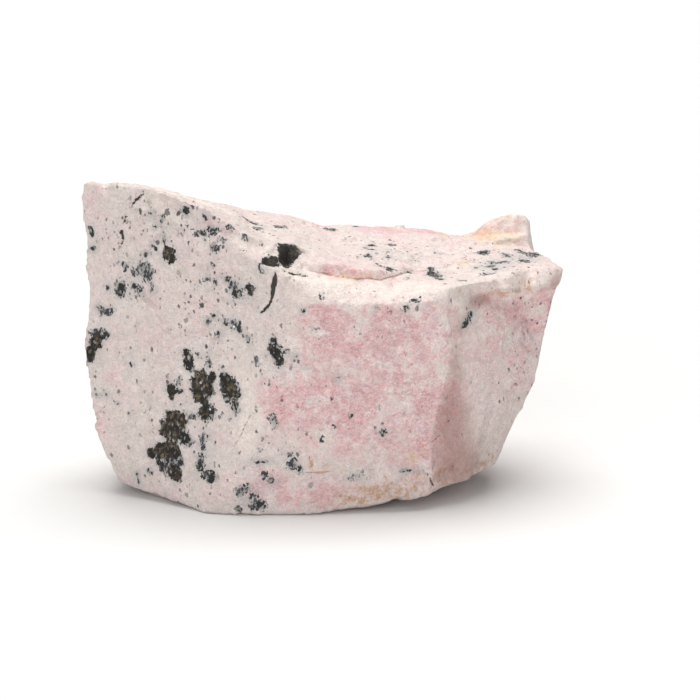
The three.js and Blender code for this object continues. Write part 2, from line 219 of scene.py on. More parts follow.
# Grey patches are a mix of tiny dark and white grains.
ASH = {
    "front": [
        # round the blade and along the upper left face
        (-24.3, 18.2, 1.0, 0.5, 20),
        (-21.9, 23.2, 0.6, 1.0, -5),
        (-23.5, 20.7, 0.9, 0.45),
        (-18.9, 25.7, 1.0, 1.1, 30),
        (-20.4, 25.3, 0.55, 0.45),
        (-21.4, 25.8, 0.35, 0.45),
        (-20.0, 23.5, 0.5, 0.45),
        # beside the ridge
        (-9.5, 25.1, 0.6, 0.6),
        (-9.1, 24.2, 0.6, 0.6),
        (-9.5, 21.0, 0.7, 0.5, -15),
        (-9.4, 23.4, 0.25, 0.2),
        (-12.4, 25.6, 0.25, 0.3),
        (-11.7, 27.1, 0.25, 0.3),
        # round the big grains
        (-15.4, 14.0, 0.35, 0.7, -10),
        (-12.2, 16.5, 0.3, 0.6),
        (-13.4, 17.0, 0.25, 0.3),
        (-12.5, 10.8, 0.9, 1.0),
        (-9.9, 13.8, 1.0, 1.6, 10),
        (-13.0, 13.5, 1.3, 1.9),
        (-14.0, 10.3, 0.4, 0.4),
        (-11.0, 10.7, 0.15, 0.3),
        (-16.0, 9.0, 1.5, 1.6),
        (-14.8, 7.7, 1.1, 0.7, -20),
        (-16.6, 5.2, 1.6, 1.9),
        (-12.8, 7.8, 0.4, 0.9),
        (-13.1, 5.5, 0.5, 0.8),
        (-12.6, 4.2, 0.7, 0.6),
        (-18.8, 3.3, 0.3, 0.3),
        (-20.7, 15.0, 0.2, 0.35),
        (-22.1, 10.4, 0.25, 0.2),
        # at the ridge and on the pink face
        (-7.1, 17.2, 0.25, 0.5),
        (-5.0, 18.3, 0.7, 1.5, 15),
        (-3.7, 18.3, 0.2, 0.35),
        (-5.4, 11.1, 0.35, 0.6),
        (-5.2, 10.4, 0.25, 0.5),
        (8.7, 22.7, 0.4, 0.3),
        (3.0, 11.3, 0.3, 0.25),
        (6.4, 9.2, 0.3, 0.25),
        (1.1, 10.1, 0.15, 0.25),
        (-0.2, 8.6, 0.2, 0.25, -30),
        (-0.9, 21.0, 0.3, 0.15, -30),
        (9.8, 23.7, 0.7, 0.13),
        (0.0, 24.4, 0.25, 0.15),
        # near the foot
        (-3.6, 7.0, 0.35, 0.3),
        (-3.3, 5.8, 0.6, 0.75),
        (-6.3, 4.6, 0.4, 0.35),
        (-5.6, 4.1, 0.6, 0.4, -35),
        (-8.5, 3.1, 0.85, 0.5),
        (-9.0, 2.5, 0.5, 0.4),
        (-7.5, 2.2, 0.5, 0.3),
        (-7.0, 1.2, 0.9, 0.65),
        (-9.2, 0.8, 0.5, 0.3),
        (2.9, 4.2, 0.3, 0.35),
        (3.7, 4.5, 0.6, 0.2, 12),
        (-6.8, 7.5, 0.25, 0.2),
        # on the shaded right flank
        (15.4, 20.8, 0.4, 0.9, -35),
        # in the groove under the brow
        (-8.4, 30.5, 0.35, 0.4),
        (-9.8, 31.4, 0.5, 0.3),
        (-11.3, 29.2, 0.25, 0.6, -10),
        (-13.2, 30.5, 0.8, 0.35),
        (-11.7, 30.8, 0.6, 0.4),
        (-17.2, 31.6, 0.25, 0.4),
    ],
    "top": [
        # on the slope behind the brow
        (-7.0, -1.5, 0.5, 1.3),
        (-4.7, 3.4, 0.7, 0.8),
        (0.8, 9.1, 0.8, 0.7),
        (3.6, 11.0, 0.4, 0.3),
        # the cluster on the middle of the top
        (6.1, -4.9, 0.4, 0.5),
        (7.4, 3.1, 0.6, 0.4),
        (9.0, -7.0, 0.15, 0.4),
        (12.0, -4.9, 0.7, 1.2),
        (12.1, 1.2, 0.2, 0.3),
        (14.9, -7.0, 0.4, 0.3),
        # the cluster at the right end
        (17.4, 2.4, 0.7, 1.0),
        (18.0, -2.4, 0.6, 0.5),
        (18.3, -1.1, 0.5, 0.6),
        (19.3, -1.2, 0.9, 0.6),
        (17.6, -4.9, 0.8, 0.5),
        (20.0, 2.2, 0.6, 0.5),
        (22.4, 4.1, 1.2, 1.2, -35),
        (21.7, 0.0, 0.7, 0.8),
        # the edge of the hollow
        (-3.0, -6.0, 0.5, 0.8),
    ],
}

OLIVE = {
    "front": [
        (-16.4, 19.3, 0.2, 0.3),
        (-15.4, 26.0, 0.25, 0.35, 10),
        (-18.4, 33.0, 0.2, 0.35),
        (-11.3, 4.3, 0.25, 0.35),
        (-5.8, 4.0, 0.25, 0.2),
        (-17.0, 3.0, 0.3, 0.2),
    ],
    "top": [
        (-2.3, -6.3, 0.4, 0.8),
    ],
}

# Painted highlights: small white spots where crystal faces glint.
PAINTED_GLINTS = {
    "front": [
        (-9.5, 20.6, 0.17, 0.2, 20),
        (-13.2, 14.0, 0.16, 0.16),
        (-12.2, 11.2, 0.12, 0.14),
        (-15.6, 5.3, 0.12, 0.12),
        (-11.0, 4.3, 0.12, 0.14),
        (-5.2, 19.1, 0.12, 0.14),
        (-3.5, 5.6, 0.15, 0.16),
    ],
}

# A soft patch of colour is (across, up, half width, half height, strength).
ROSE_AND_SHADE = {
    "front": [
        (5.0, 14.0, 9.0, 9.0, 0.32),
        (2.5, 19.4, 2.6, 1.8, 0.5),
        (-0.6, 22.6, 2.2, 1.0, 0.8),
        (20.0, 26.4, 3.2, 1.4, 0.2),
        (17.3, 25.7, 1.2, 0.6, 0.5),
        # painted shade: a brownish pink band just under the brow
        (-11.5, 31.8, 2.2, 0.8, 0.3),
        (-3.6, 13.9, 2.4, 2.7, 1.0),
        (0.4, 12.2, 3.0, 2.3, 0.85),
        (0.4, 19.6, 2.4, 1.9, 0.75),
        (3.8, 21.8, 2.0, 1.8, 0.6),
        (7.4, 21.4, 2.6, 1.9, 0.9),
        (7.2, 18.6, 3.4, 2.0, 0.65),
        (11.4, 19.0, 1.7, 4.0, 0.75),
        (12.0, 13.5, 1.2, 3.4, 0.8),
        (5.0, 8.0, 7.0, 2.0, 0.3),
        (11.4, 10.0, 2.0, 4.0, 0.8),
        (10.6, 5.0, 2.4, 1.8, 0.5),
        (7.6, 14.0, 3.0, 2.6, 0.6),
        (8.6, 11.4, 3.6, 2.2, 0.75),
        (3.6, 11.6, 2.2, 1.4, 0.5),
        (13.0, 22.0, 1.6, 2.0, 0.35),
        (13.4, 12.0, 1.6, 6.0, 0.5),
        (18.0, 20.0, 3.0, 4.0, 0.45),
        (20.5, 14.0, 3.0, 3.0, 0.5),
        (-4.5, 2.4, 7.0, 1.4, 0.75),
        (-7.0, 4.0, 3.4, 1.6, 0.5),
        (-22.3, 13.4, 1.3, 1.2, 0.45),
        (-25.0, 8.0, 1.2, 2.6, 0.5),
        (-18.0, 20.0, 4.0, 5.0, 0.2),
        (-12.4, 21.0, 2.5, 2.5, 0.25),
        (-24.5, 33.0, 1.5, 2.0, 0.45),
        (-10.2, 31.0, 2.5, 1.6, 0.3),
        (-11.2, 8.8, 1.2, 2.0, 0.35),
    ],
    "top": [
        (0.7, -8.3, 1.5, 0.5, 1.0),
        (2.9, -9.2, 1.8, 0.5, 1.0),
        (5.0, -9.0, 1.6, 0.5, 1.0),
        (6.9, -7.4, 1.1, 1.0, 0.9),
        (1.6, -6.0, 3.4, 1.4, 0.35),
        (8.0, 4.0, 14.0, 6.0, 0.15),
        (8.0, 11.0, 13.0, 2.0, 0.45),
        (-4.0, 6.0, 4.0, 2.0, 0.35),
        (10.0, 9.0, 6.0, 3.0, 0.4),
        (9.6, -4.0, 2.2, 1.2, 0.5),
    ],
    "back": [(-14.0, 20.0, 7.0, 6.0, 0.7), (4.0, 10.0, 8.0, 5.0, 0.8), (18.0, 18.0, 5.0, 5.0, 0.7)],
    "right": [(0.0, 20.0, 6.0, 4.0, 0.7), (4.0, 8.0, 5.0, 5.0, 0.6)],
    "left": [(2.0, 22.0, 4.0, 6.0, 0.6)],
}

# Paler rock; on the right flank the pale is painted light.
PALE_AND_LIT = {
    "front": [
        (4.2, 17.4, 6.0, 0.9, 0.6),
        (-4.7, 27.3, 2.0, 0.35, 1.0),
        (-2.2, 19.6, 2.2, 1.6, 0.5),
        (3.0, 8.4, 5.0, 1.2, 0.3),
        (-1.6, 9.0, 3.6, 1.2, 0.3),
        (4.0, 23.9, 6.0, 0.8, 0.55),
        # painted light: brightens the right flank, which the lamps leave darker
        (14.5, 21.2, 1.0, 2.4, 0.85),
        (20.4, 26.6, 3.0, 1.2, 1.0),
        (-7.6, 14.0, 1.3, 1.3, 0.9),
        (-7.3, 12.2, 1.1, 1.6, 0.9),
        (-7.8, 10.2, 1.0, 1.8, 0.9),
        (-8.4, 8.2, 0.8, 1.4, 0.8),
        (-13.0, 13.0, 5.0, 9.0, 0.25),
    ],
    "top": [
        (0.0, -11.2, 4.0, 1.6, 0.5),
        (5.0, -11.0, 9.0, 1.9, 0.5),
        (11.0, -9.4, 4.0, 1.4, 0.5),
        (8.0, 3.0, 12.0, 5.0, 0.1),
        (-14.0, 1.0, 5.0, 3.0, 0.9),
        (20.0, -4.0, 4.0, 4.0, 0.6),
    ],
    "back": [(-4.0, 18.0, 6.0, 6.0, 0.6)],
}

# Rust stains, and painted shade under the brow, on the right flank and under the folded lobe.
RUST_AND_SHADE = {
    "front": [
        # painted shade: a brownish band just under the brow
        (-11.5, 31.6, 2.0, 0.7, 0.25),
        # painted shade in the hollows under the folded lobe
        (20.4, 22.9, 1.4, 0.4, 0.4),
        (23.0, 22.8, 1.8, 0.4, 0.4),
        (5.4, 2.5, 3.4, 1.3, 0.85),
        (2.0, 1.3, 2.6, 0.8, 0.6),
        (9.6, 2.9, 2.4, 1.2, 0.65),
        (-1.3, 6.1, 0.25, 0.6, 0.7),
        (0.3, 5.6, 0.7, 0.5, 0.7),
        (1.6, 5.1, 1.0, 0.25, 0.5),
        (-0.3, 4.9, 0.9, 0.22, 0.6),
        # partly painted shade on the right flank and in the hollow under the flap
        (13.6, 3.5, 1.6, 2.2, 0.6),
        (15.8, 21.8, 0.7, 0.6, 0.35),
        (14.0, 8.0, 1.4, 2.6, 0.4),
        (17.0, 3.6, 2.0, 1.6, 0.6),
        (21.9, 23.4, 0.7, 1.4, 0.5),
        (18.6, 22.6, 1.8, 0.8, 0.45),
    ],
    "top": [
        (14.6, -9.4, 0.4, 0.5, 0.7),
        (16.9, -7.6, 0.35, 0.6, 0.6),
    ],
    "back": [(-8.0, 4.0, 5.0, 2.0, 0.5), (20.0, 6.0, 3.0, 3.0, 0.6)],
    "right": [(2.0, 3.0, 4.0, 2.0, 0.6)],
}

OCHRE = {
    "front": [
        (9.4, 6.0, 1.3, 1.0, 0.7),
        (4.0, 7.8, 7.0, 2.0, 0.25),
        (11.0, 6.8, 0.5, 0.6, 0.5),
        (17.8, 25.4, 1.3, 0.6, 0.7),
        (20.4, 25.6, 1.8, 0.8, 0.5),
        (19.4, 27.2, 1.6, 0.3, 0.6),
        (3.6, 24.6, 3.4, 0.9, 0.3),
        (2.9, 25.7, 4.0, 0.5, 0.45),
        (20.6, 23.9, 2.0, 0.9, 0.25),
        (15.2, 24.9, 1.0, 0.3, 0.6),
    ],
    "top": [
        (13.0, 9.5, 0.8, 0.6, 0.7),
        (18.0, 8.0, 5.0, 3.0, 0.35),
        (20.0, -4.0, 4.0, 2.0, 0.3),
        (3.0, -9.0, 4.0, 0.6, 0.2),
        (8.0, -8.0, 8.0, 3.0, 0.15),
        (8.0, 2.0, 14.0, 7.0, 0.3),
    ],
    "back": [(16.0, 24.0, 4.0, 1.5, 0.6)],
}

PEPPER = {
    "front": [
        (-16.2, 30.6, 5.2, 3.4, 0.9),
        (-21.0, 31.0, 3.0, 3.0, 0.35),
        (-10.8, 20.6, 3.2, 3.2, 0.7),
        (-12.8, 24.2, 3.5, 3.0, 0.8),
        (-13.5, 10.0, 4.0, 7.0, 0.75),
        (-19.5, 24.5, 3.2, 2.6, 0.7),
        (-11.0, 31.0, 3.6, 1.4, 0.8),
        (-21.5, 11.0, 3.5, 4.0, 0.25),
        (-4.6, 18.0, 2.2, 2.6, 0.6),
        (-5.0, 9.0, 2.4, 4.5, 0.4),
        (7.0, 22.4, 3.6, 1.4, 0.5),
        (4.0, 10.0, 5.0, 3.0, 0.08),
        (-8.8, 27.5, 1.6, 2.5, 0.35),
    ],
    "top": [
        (6.5, 0.5, 4.0, 4.5, 0.8),
        (19.6, -0.6, 4.5, 3.8, 0.8),
        (-6.5, 0.0, 4.0, 5.0, 0.6),
        (14.5, -6.0, 3.0, 2.0, 0.4),
    ],
    "back": [(-12.0, 12.0, 6.0, 5.0, 0.7), (12.0, 16.0, 6.0, 4.0, 0.7)],
    "right": [(-2.0, 15.0, 4.0, 4.0, 0.7)],
    "left": [(0.0, 14.0, 4.0, 5.0, 0.7)],
}

# A soft grey wash round the grey patches.
SMOKE = {
    "front": [
        (-19.5, 25.6, 1.6, 1.8, 0.6),
        (-21.7, 23.4, 1.2, 1.4, 0.6),
        (-23.5, 20.7, 1.3, 0.9, 0.6),
        (-9.1, 24.6, 1.3, 1.6, 0.7),
        (-9.9, 20.8, 1.4, 1.0, 0.7),
        (-15.4, 10.8, 2.6, 2.2, 0.45),
        (-12.6, 6.6, 1.6, 3.2, 0.6),
        (-9.8, 13.5, 1.6, 2.6, 0.4),
        (-13.2, 16.8, 2.2, 2.0, 0.4),
        (-24.2, 18.4, 1.4, 0.9, 0.5),
        (-11.5, 30.6, 2.6, 0.9, 0.4),
        (-4.7, 17.6, 1.2, 2.4, 0.5),
        (-3.2, 6.2, 1.0, 1.4, 0.6),
        (-5.6, 4.0, 1.2, 1.0, 0.6),
        (-8.0, 1.9, 1.6, 1.4, 0.7),
        (3.6, 4.2, 1.1, 0.7, 0.6),
        (9.0, 22.4, 1.2, 1.0, 0.4),
    ],
    "top": [
        (18.6, -2.4, 2.4, 2.6, 0.8),
        (21.8, 2.2, 2.6, 3.0, 0.7),
        (12.2, -4.6, 1.2, 2.2, 0.6),
        (6.6, -1.0, 2.6, 3.6, 0.4),
        (-4.4, 3.8, 1.4, 1.6, 0.4),
    ],
}

# A mauve brown on the faces that turn to the right: partly the flank's own colour, partly painted
# shade that darkens that side and the hollows under the folded lobe.
UMBER_AND_SHADE = {
    "front": [
        (13.8, 9.5, 2.0, 4.5, 0.9),
        (14.6, 4.5, 3.0, 3.0, 0.9),
        (14.2, 16.0, 0.9, 3.0, 0.6),
        (15.0, 20.4, 1.1, 1.4, 0.6),
        (16.8, 22.3, 1.6, 0.7, 0.8),
        (20.4, 22.8, 1.6, 0.5, 0.6),
        (23.4, 22.7, 1.8, 0.5, 0.7),
        (25.0, 23.4, 0.8, 1.4, 0.5),
    ],
}

# Where a grain is black all through, without a brown middle.
JET = {
    "front": [
        (-4.3, 27.9, 2.4, 1.2, 1.0),
        (-6.2, 27.8, 1.0, 0.8, 1.0),
        (-4.7, 18.2, 1.2, 1.8, 0.5),
    ],
}

# A crack or vein is a run of (across, up, half width) points on one side. Where the half width
# is below nothing, the vein breaks off.
VEINS = [
    ("front", [(-19.2, 34.0, 0.12), (-20.1, 33.1, 0.13), (-20.8, 32.2, 0.07), (-21.2, 31.0, 0.1),
               (-21.4, 30.3, -0.02), (-21.6, 29.7, 0.12), (-21.5, 29.0, 0.13),
               (-21.8, 27.9, 0.05)]),
    ("front", [(-5.0, 27.0, 0.16), (-5.1, 26.2, 0.3), (-5.3, 25.0, 0.27), (-5.5, 23.9, 0.12),
               (-6.0, 23.2, 0.16), (-6.7, 22.4, 0.05)]),
    ("top", [(-4.2, -12.0, 0.08), (-3.2, -11.4, 0.14), (-2.2, -10.8, 0.22), (-1.5, -10.3, 0.08)]),
    ("front", [(11.2, 4.1, 0.12), (11.6, 3.2, 0.14), (11.8, 2.7, 0.08)]),
    ("top", [(7.3, -5.2, 0.1), (8.4, -5.2, 0.08), (9.3, -4.8, 0.13), (10.6, -4.6, 0.06)]),
]

# Pale broken edges, laid down the same way: partly the fresh rock's colour, partly painted
# highlight where the edges catch the light.
RIMS_AND_HIGHLIGHTS = [
    # the rim of the hollow
    ("front", [(-6.6, 27.8, 0.1), (-6.0, 27.5, 0.28), (-5.3, 27.3, 0.34), (-4.3, 27.0, 0.34),
               (-3.3, 26.8, 0.3), (-2.2, 26.6, 0.14)]),
    # the edges of the flake beside the big black grains
    ("front", [(-7.9, 13.8, 0.04), (-9.0, 12.0, 0.1), (-9.4, 10.6, 0.07), (-9.6, 8.9, 0.12),
               (-10.0, 5.9, 0.05)]),
    ("front", [(-6.5, 20.7, 0.03), (-6.9, 18.4, 0.08), (-6.9, 16.1, 0.05), (-6.5, 14.8, 0.08),
               (-6.9, 9.7, 0.04)]),
    # the fold at the right end
    ("front", [(18.6, 23.6, 0.05), (19.4, 24.2, 0.16), (20.8, 24.7, 0.12), (22.0, 24.9, 0.06)]),
]

# Fine rust-brown seams, laid down the same way.
SEAMS = [
    # round the flake that broke off beside the big black grains
    ("front", [(-8.7, 11.6, 0.03), (-7.8, 11.2, 0.07), (-8.4, 10.0, 0.05), (-8.8, 8.9, 0.08),
               (-9.4, 7.9, 0.03)]),
    ("front", [(-7.8, 11.2, 0.06), (-7.2, 11.6, 0.03)]),
    # along the foot of the step on the top
    ("top", [(-2.0, -9.4, 0.05), (-0.8, -9.0, 0.08), (0.4, -8.5, 0.12), (2.0, -9.1, 0.07),
             (3.6, -9.7, 0.12), (4.9, -9.3, 0.07), (6.2, -8.9, 0.12), (7.0, -7.6, 0.1),
             (7.9, -6.2, 0.14), (9.6, -3.6, 0.14), (11.0, -3.3, 0.1), (12.4, -3.4, 0.05)]),
    ("top", [(11.8, -3.4, 0.03), (13.2, -2.2, 0.07), (14.0, -0.4, 0.05), (15.4, 1.0, 0.07),
             (16.0, 3.0, 0.03)]),
    # orange lines near the foot
    ("front", [(-1.5, 6.9, 0.06), (-1.3, 6.1, 0.2), (-1.1, 5.4, 0.06)]),
    ("front", [(-1.8, 5.0, 0.05), (-0.3, 4.9, 0.15), (1.4, 5.2, 0.08), (2.6, 5.0, 0.04)]),
    ("front", [(0.0, 5.5, 0.05), (0.5, 6.0, 0.1), (0.6, 6.5, 0.04)]),
    ("front", [(3.0, 4.9, 0.03), (4.6, 5.1, 0.06), (6.4, 4.8, 0.04)]),
    # brown grooves on the shaded right flank
    ("front", [(21.8, 24.1, 0.04), (21.7, 23.5, 0.1), (21.9, 22.8, 0.12)]),
    ("front", [(23.2, 24.0, 0.03), (23.3, 23.4, 0.08), (23.5, 22.8, 0.1)]),
    ("front", [(17.9, 22.6, 0.05), (19.4, 22.9, 0.1), (20.8, 22.8, 0.1), (22.0, 22.9, 0.06)]),
    ("front", [(11.7, 7.7, 0.05), (12.2, 8.0, 0.12), (12.9, 8.5, 0.05)]),
    ("front", [(12.8, 5.0, 0.04), (12.6, 3.6, 0.1), (13.0, 2.6, 0.04)]),
]

# A swelling or a hollow is (across, up, half width, half height, turn, height in millimetres).
BULGES = {
    "front": [
        # the folded lobe at the right end, and the hollows under it
        (20.2, 24.1, 1.2, 0.8, 0, 0.3),
        (24.0, 23.9, 1.3, 0.8, 0, 0.25),
        (21.8, 23.6, 0.45, 1.2, -8, -0.4),
        (18.2, 22.6, 1.4, 0.6, -20, -0.3),
        (15.8, 23.4, 1.2, 0.8, 0, -0.25),
        # the knobs at the upper left corner
        (-24.8, 34.3, 0.7, 0.5, 0, 0.3),
        (-22.0, 34.5, 0.7, 0.5, 0, 0.35),
        (-23.4, 34.3, 0.4, 0.5, 0, -0.35),
        # the shallow groove up the left of the front face
        (-5.6, 19.0, 0.8, 2.4, 8, -0.3),
        # upright swells on the left face
        (-22.4, 14.0, 0.9, 5.0, 4, 0.25),
        (-19.4, 12.0, 0.8, 6.0, 6, -0.25),
        (-21.0, 27.0, 0.8, 4.0, -6, -0.3),
        (-18.0, 25.0, 0.7, 3.0, 10, 0.25),
        (-14.0, 24.0, 0.9, 3.0, -12, -0.2),
        (-11.4, 26.6, 2.4, 0.6, -24, -0.35),
        (-13.4, 28.6, 2.6, 0.6, -24, 0.3),
    ],
}


# ---------------------------------------------------------------- sizes and colours to change
def length_property(name, description, default, **limits):
    """A length that the user may change, in metres."""
    return FloatProperty(name=name, description=description, default=default, precision=5,
                         unit="LENGTH", subtype="DISTANCE", **limits)


def place_property(name, description, default):
    """A place or a way in space that the user may change, in metres."""
    return FloatVectorProperty(name=name, description=description, default=default, size=3,
                               precision=5, unit="LENGTH", subtype="TRANSLATION")


def colour_property(name, description, red, green, blue):
    """A colour that the user may change."""
    return FloatVectorProperty(
        name=name, description=description, default=(red, green, blue), size=3,
        min=0.0, max=1.0, subtype="COLOR")


class StoneSizes(bpy.types.PropertyGroup):
    """How the broken surface is made."""

    mesh_step: length_property(
        "Mesh step", "Distance between the points of the surface", 0.27 * MM, min=0.2 * MM)
    ridge_angle: FloatProperty(
        name="Ridge angle", description="Breaks sharper than this keep a crisp edge",
        default=math.radians(8), unit="ROTATION", subtype="ANGLE")
    smooth_rounds: IntProperty(
        name="Smoothing", description="Rounds of smoothing between the ridges", default=12, min=0)
    swell_size: length_property(
        "Swell size", "Width of the gentle swells", 5.0 * MM)
    swell_height: length_property(
        "Swell height", "Height of the gentle swells", 0.3 * MM)
    chip_size: length_property(
        "Chip size", "Width of the small flat breaks", 2.2 * MM)
    chip_height: length_property(
        "Chip height", "How far the small breaks step in and out", 0.3 * MM)
    grain_size: length_property(
        "Grain size", "Width of the rough grain", 0.7 * MM)
    grain_height: length_property(
        "Grain height", "Height of the rough grain", 0.09 * MM)
    pit_depth: length_property(
        "Pit depth", "How far the black grains lie below the surface", 0.1 * MM)
    crystal_size: length_property(
        "Crystal size", "Width of the small crystals in a black grain", 0.8 * MM)
    crystal_height: length_property(
        "Crystal height", "Height of the small crystals in a black grain", 0.22 * MM)
    crack_depth: length_property(
        "Crack depth", "Depth of the cracks and veins", 0.18 * MM)
    seed: IntProperty(name="Seed", description="Another seed gives another surface", default=7)


class StoneColours(bpy.types.PropertyGroup):
    """The minerals' colours, in linear light. Where noted below, a colour also stands in for
    painted shade, light and highlights.
    """

    beige: colour_property("Beige", "The plain rock", 0.76, 0.68, 0.635)
    blush: colour_property("Blush", "The faint pink of the plain rock", 0.78, 0.645, 0.625)
    # The pale also paints light on the right flank.
    pale: colour_property("Pale", "The whitest rock", 0.86, 0.77, 0.715)
    haze: colour_property("Haze", "The grey in the rock round black grains", 0.62, 0.56, 0.545)
    # The rose also paints a band of shade under the brow.
    rose: colour_property("Rose", "The pink mineral", 0.80, 0.53, 0.525)
    deep_rose: colour_property("Deep rose", "The strongest pink", 0.66, 0.27, 0.29)
    strand: colour_property("Strand", "The white fibres in the pink", 0.91, 0.80, 0.79)
    black: colour_property("Black", "The black mineral", 0.018, 0.016, 0.014)
    brown: colour_property("Brown", "The brown middle of a black grain", 0.125, 0.090, 0.062)
    ash_dark: colour_property("Dark ash", "The dark grains of a grey patch", 0.06, 0.062, 0.068)
    ash_light: colour_property("Light ash", "The light grains of a grey patch", 0.52, 0.51, 0.505)
    olive: colour_property("Olive", "The greenish brown grains", 0.27, 0.22, 0.14)
    # The rust also paints shade under the brow, on the right flank and under the folded lobe.
    rust: colour_property("Rust", "The rust stain", 0.58, 0.31, 0.15)
    # Partly painted shade: this mauve brown darkens the right flank.
    umber_and_shade: colour_property("Umber", "The mauve brown of the right flank", 0.46, 0.27, 0.24)
    lilac: colour_property("Lilac", "The colder pink between the strokes", 0.66, 0.42, 0.48)
    seam: colour_property("Seam", "The brown in the fine seams", 0.34, 0.18, 0.12)
    ochre: colour_property("Ochre", "The yellow stain", 0.80, 0.58, 0.36)
    # Painted highlight: the white of the glinting crystal faces.
    white: colour_property("White", "The bright crystal faces", 0.93, 0.93, 0.92)


class StageSettings(bpy.types.PropertyGroup):
    """The camera, the light and the floor."""

    aim: place_property(
        "Aim", "The point at the middle of the view", (2.88 * MM, -11.0 * MM, 17.98 * MM))
    distance: length_property(
        "Camera distance", "From the camera to the point it aims at", 0.6)
    elevation: FloatProperty(
        name="Camera elevation", description="How far the camera looks down",
        default=math.radians(16), unit="ROTATION", subtype="ANGLE")
    view_width: length_property(
        "View width", "What the camera takes in at the point it aims at", 74.75 * MM)
    floor_width: length_property(
        "Floor width", "Width of the pale floor", 6.0)
    sky: FloatProperty(name="Sky", description="Strength of the even light", default=0.22)
    key: FloatProperty(
        name="Key light", description="Power of the light overhead",
        default=37.2, unit="POWER")
    key_from: place_property(
        "Key light from", "Where the light overhead stands, from the aim", (0.02, 0.3, 1.72))
    key_colour: colour_property("Key light colour", "A faint warmth", 1.0, 0.985, 0.96)
    fill: FloatProperty(
        name="Fill light", description="Power of the light in front",
        default=11.4, unit="POWER")
    fill_from: place_property(
        "Fill light from", "Where the light in front stands, from the aim", (-0.4, -1.45, 0.65))
    lamp_width: length_property(
        "Lamp width", "Width of the square lights", 1.5)


# ---------------------------------------------------------------- sums on sockets
class Wire:
    """An output socket. Sums and products written with it become Math nodes."""

    def __init__(self, graph, socket):
        self.graph = graph
        self.socket = socket

    def math(self, operation, *others):
        """A Math node on this number and the others."""
        return self.graph.node("ShaderNodeMath", {"operation": operation},
                               dict(enumerate((self, *others))))

    def twin(self, name):
        """Another output of the same node."""
        return Wire(self.graph, pick(self.socket.node.outputs, name))

    def __add__(self, other):
        return self.math("ADD", other)

    def __sub__(self, other):
        return self.math("SUBTRACT", other)

    def __rsub__(self, other):
        return self.graph.node("ShaderNodeMath", {"operation": "SUBTRACT"}, {0: other, 1: self})

    def __mul__(self, other):
        return self.math("MULTIPLY", other)

    def __truediv__(self, other):
        return self.math("DIVIDE", other)

    def __rtruediv__(self, other):
        return self.graph.node("ShaderNodeMath", {"operation": "DIVIDE"}, {0: other, 1: self})

    def __pow__(self, other):
        return self.math("POWER", other)

    def __abs__(self):
        return self.math("ABSOLUTE")

    __radd__ = __add__
    __rmul__ = __mul__

    def least(self, other):
        """The smaller of the two numbers."""
        return self.math("MINIMUM", other)

    def most(self, other):
        """The larger of the two numbers."""
        return self.math("MAXIMUM", other)

    def ramp(self, low, high):
        """0 below low, 1 above high, and smooth between them. high may be the lower one."""
        return self.graph.node(
            "ShaderNodeMapRange", {"interpolation_type": "SMOOTHSTEP"},
            {"Value": self, "From Min": low, "From Max": high})


def pick(sockets, key):
    """The socket with that place, identifier or name."""
    if isinstance(key, int):
        return sockets[key]
    for field in ("identifier", "name"):
        for socket in sockets:
            if getattr(socket, field) == key:
                return socket
    raise KeyError(f"no socket {key!r} among {[s.identifier for s in sockets]}")


class Graph:
    """A node tree that is written as expressions."""

    def __init__(self, tree):
        self.tree = tree

    def node(self, kind, settings=None, values=None, output=0):
        """Adds a node: its settings first, then the values or wires of its sockets."""
        made = self.tree.nodes.new(kind)
        for name, setting in (settings or {}).items():
            setattr(made, name, setting)
        for name, value in (values or {}).items():
            socket = pick(made.inputs, name)
            if isinstance(value, Wire):
                self.tree.links.new(value.socket, socket)
            else:
                socket.default_value = value
        return Wire(self, pick(made.outputs, output)) if len(made.outputs) else made

    def shift(self, vector, operation, other):
        """Vector Math on two vectors."""
        return self.node("ShaderNodeVectorMath", {"operation": operation}, {0: vector, 1: other})

    def scaled(self, vector, amount):
        """The vector times a number."""
        return self.node("ShaderNodeVectorMath", {"operation": "SCALE"},
                         {0: vector, "Scale": amount})

    def centred(self, colour):
        """Three numbers from 0 to 1 as a vector from -0.5 to 0.5."""
        return self.shift(colour, "SUBTRACT", (0.5, 0.5, 0.5))

    def moved(self, place, colour, amount):
        """The place, moved about by a noise's colour."""
        return self.shift(place, "ADD", self.scaled(self.centred(colour), amount))

    def noise(self, place, size, detail, roughness, seed, output="Fac"):
        """Smooth noise from 0 to 1 with features of that size."""
        return self.node(
            "ShaderNodeTexNoise", {"noise_dimensions": "4D"},
            {"Vector": place, "W": seed, "Scale": 1.0 / size, "Detail": detail,
             "Roughness": roughness}, output)

    def cells(self, place, size):
        """How far the place is from the middle of its cell, for Voronoi cells of that size."""
        return self.node("ShaderNodeTexVoronoi", None,
                         {"Vector": place, "Scale": 1.0 / size}, "Distance")


class Paint(Graph):
    """A material's tree."""

    def __init__(self, name):
        self.material = bpy.data.materials.new(name)
        self.material.use_nodes = True
        super().__init__(self.material.node_tree)
        self.tree.nodes.clear()

    def blend(self, share, under, over):
        """The colour under, with a share of the colour over."""
        return self.node(
            "ShaderNodeMix", {"data_type": "RGBA", "clamp_factor": True},
            {"Factor_Float": share, "A_Color": rgba(under), "B_Color": rgba(over)}, "Result_Color")

    def field(self, name):
        """A number that is kept on the mesh."""
        return self.node("ShaderNodeAttribute", {"attribute_name": name}, None, "Fac")

    def finish(self, settings, varying):
        """The Principled shader: plain numbers on its own sockets, then what changes."""
        shader = self.node("ShaderNodeBsdfPrincipled", None, {**settings, **varying})
        self.node("ShaderNodeOutputMaterial", None, {"Surface": shader})
        return self.material


def rgba(colour):
    """A property's three numbers as a node's four. A wire is left alone."""
    return colour if isinstance(colour, Wire) else (*colour, 1.0)


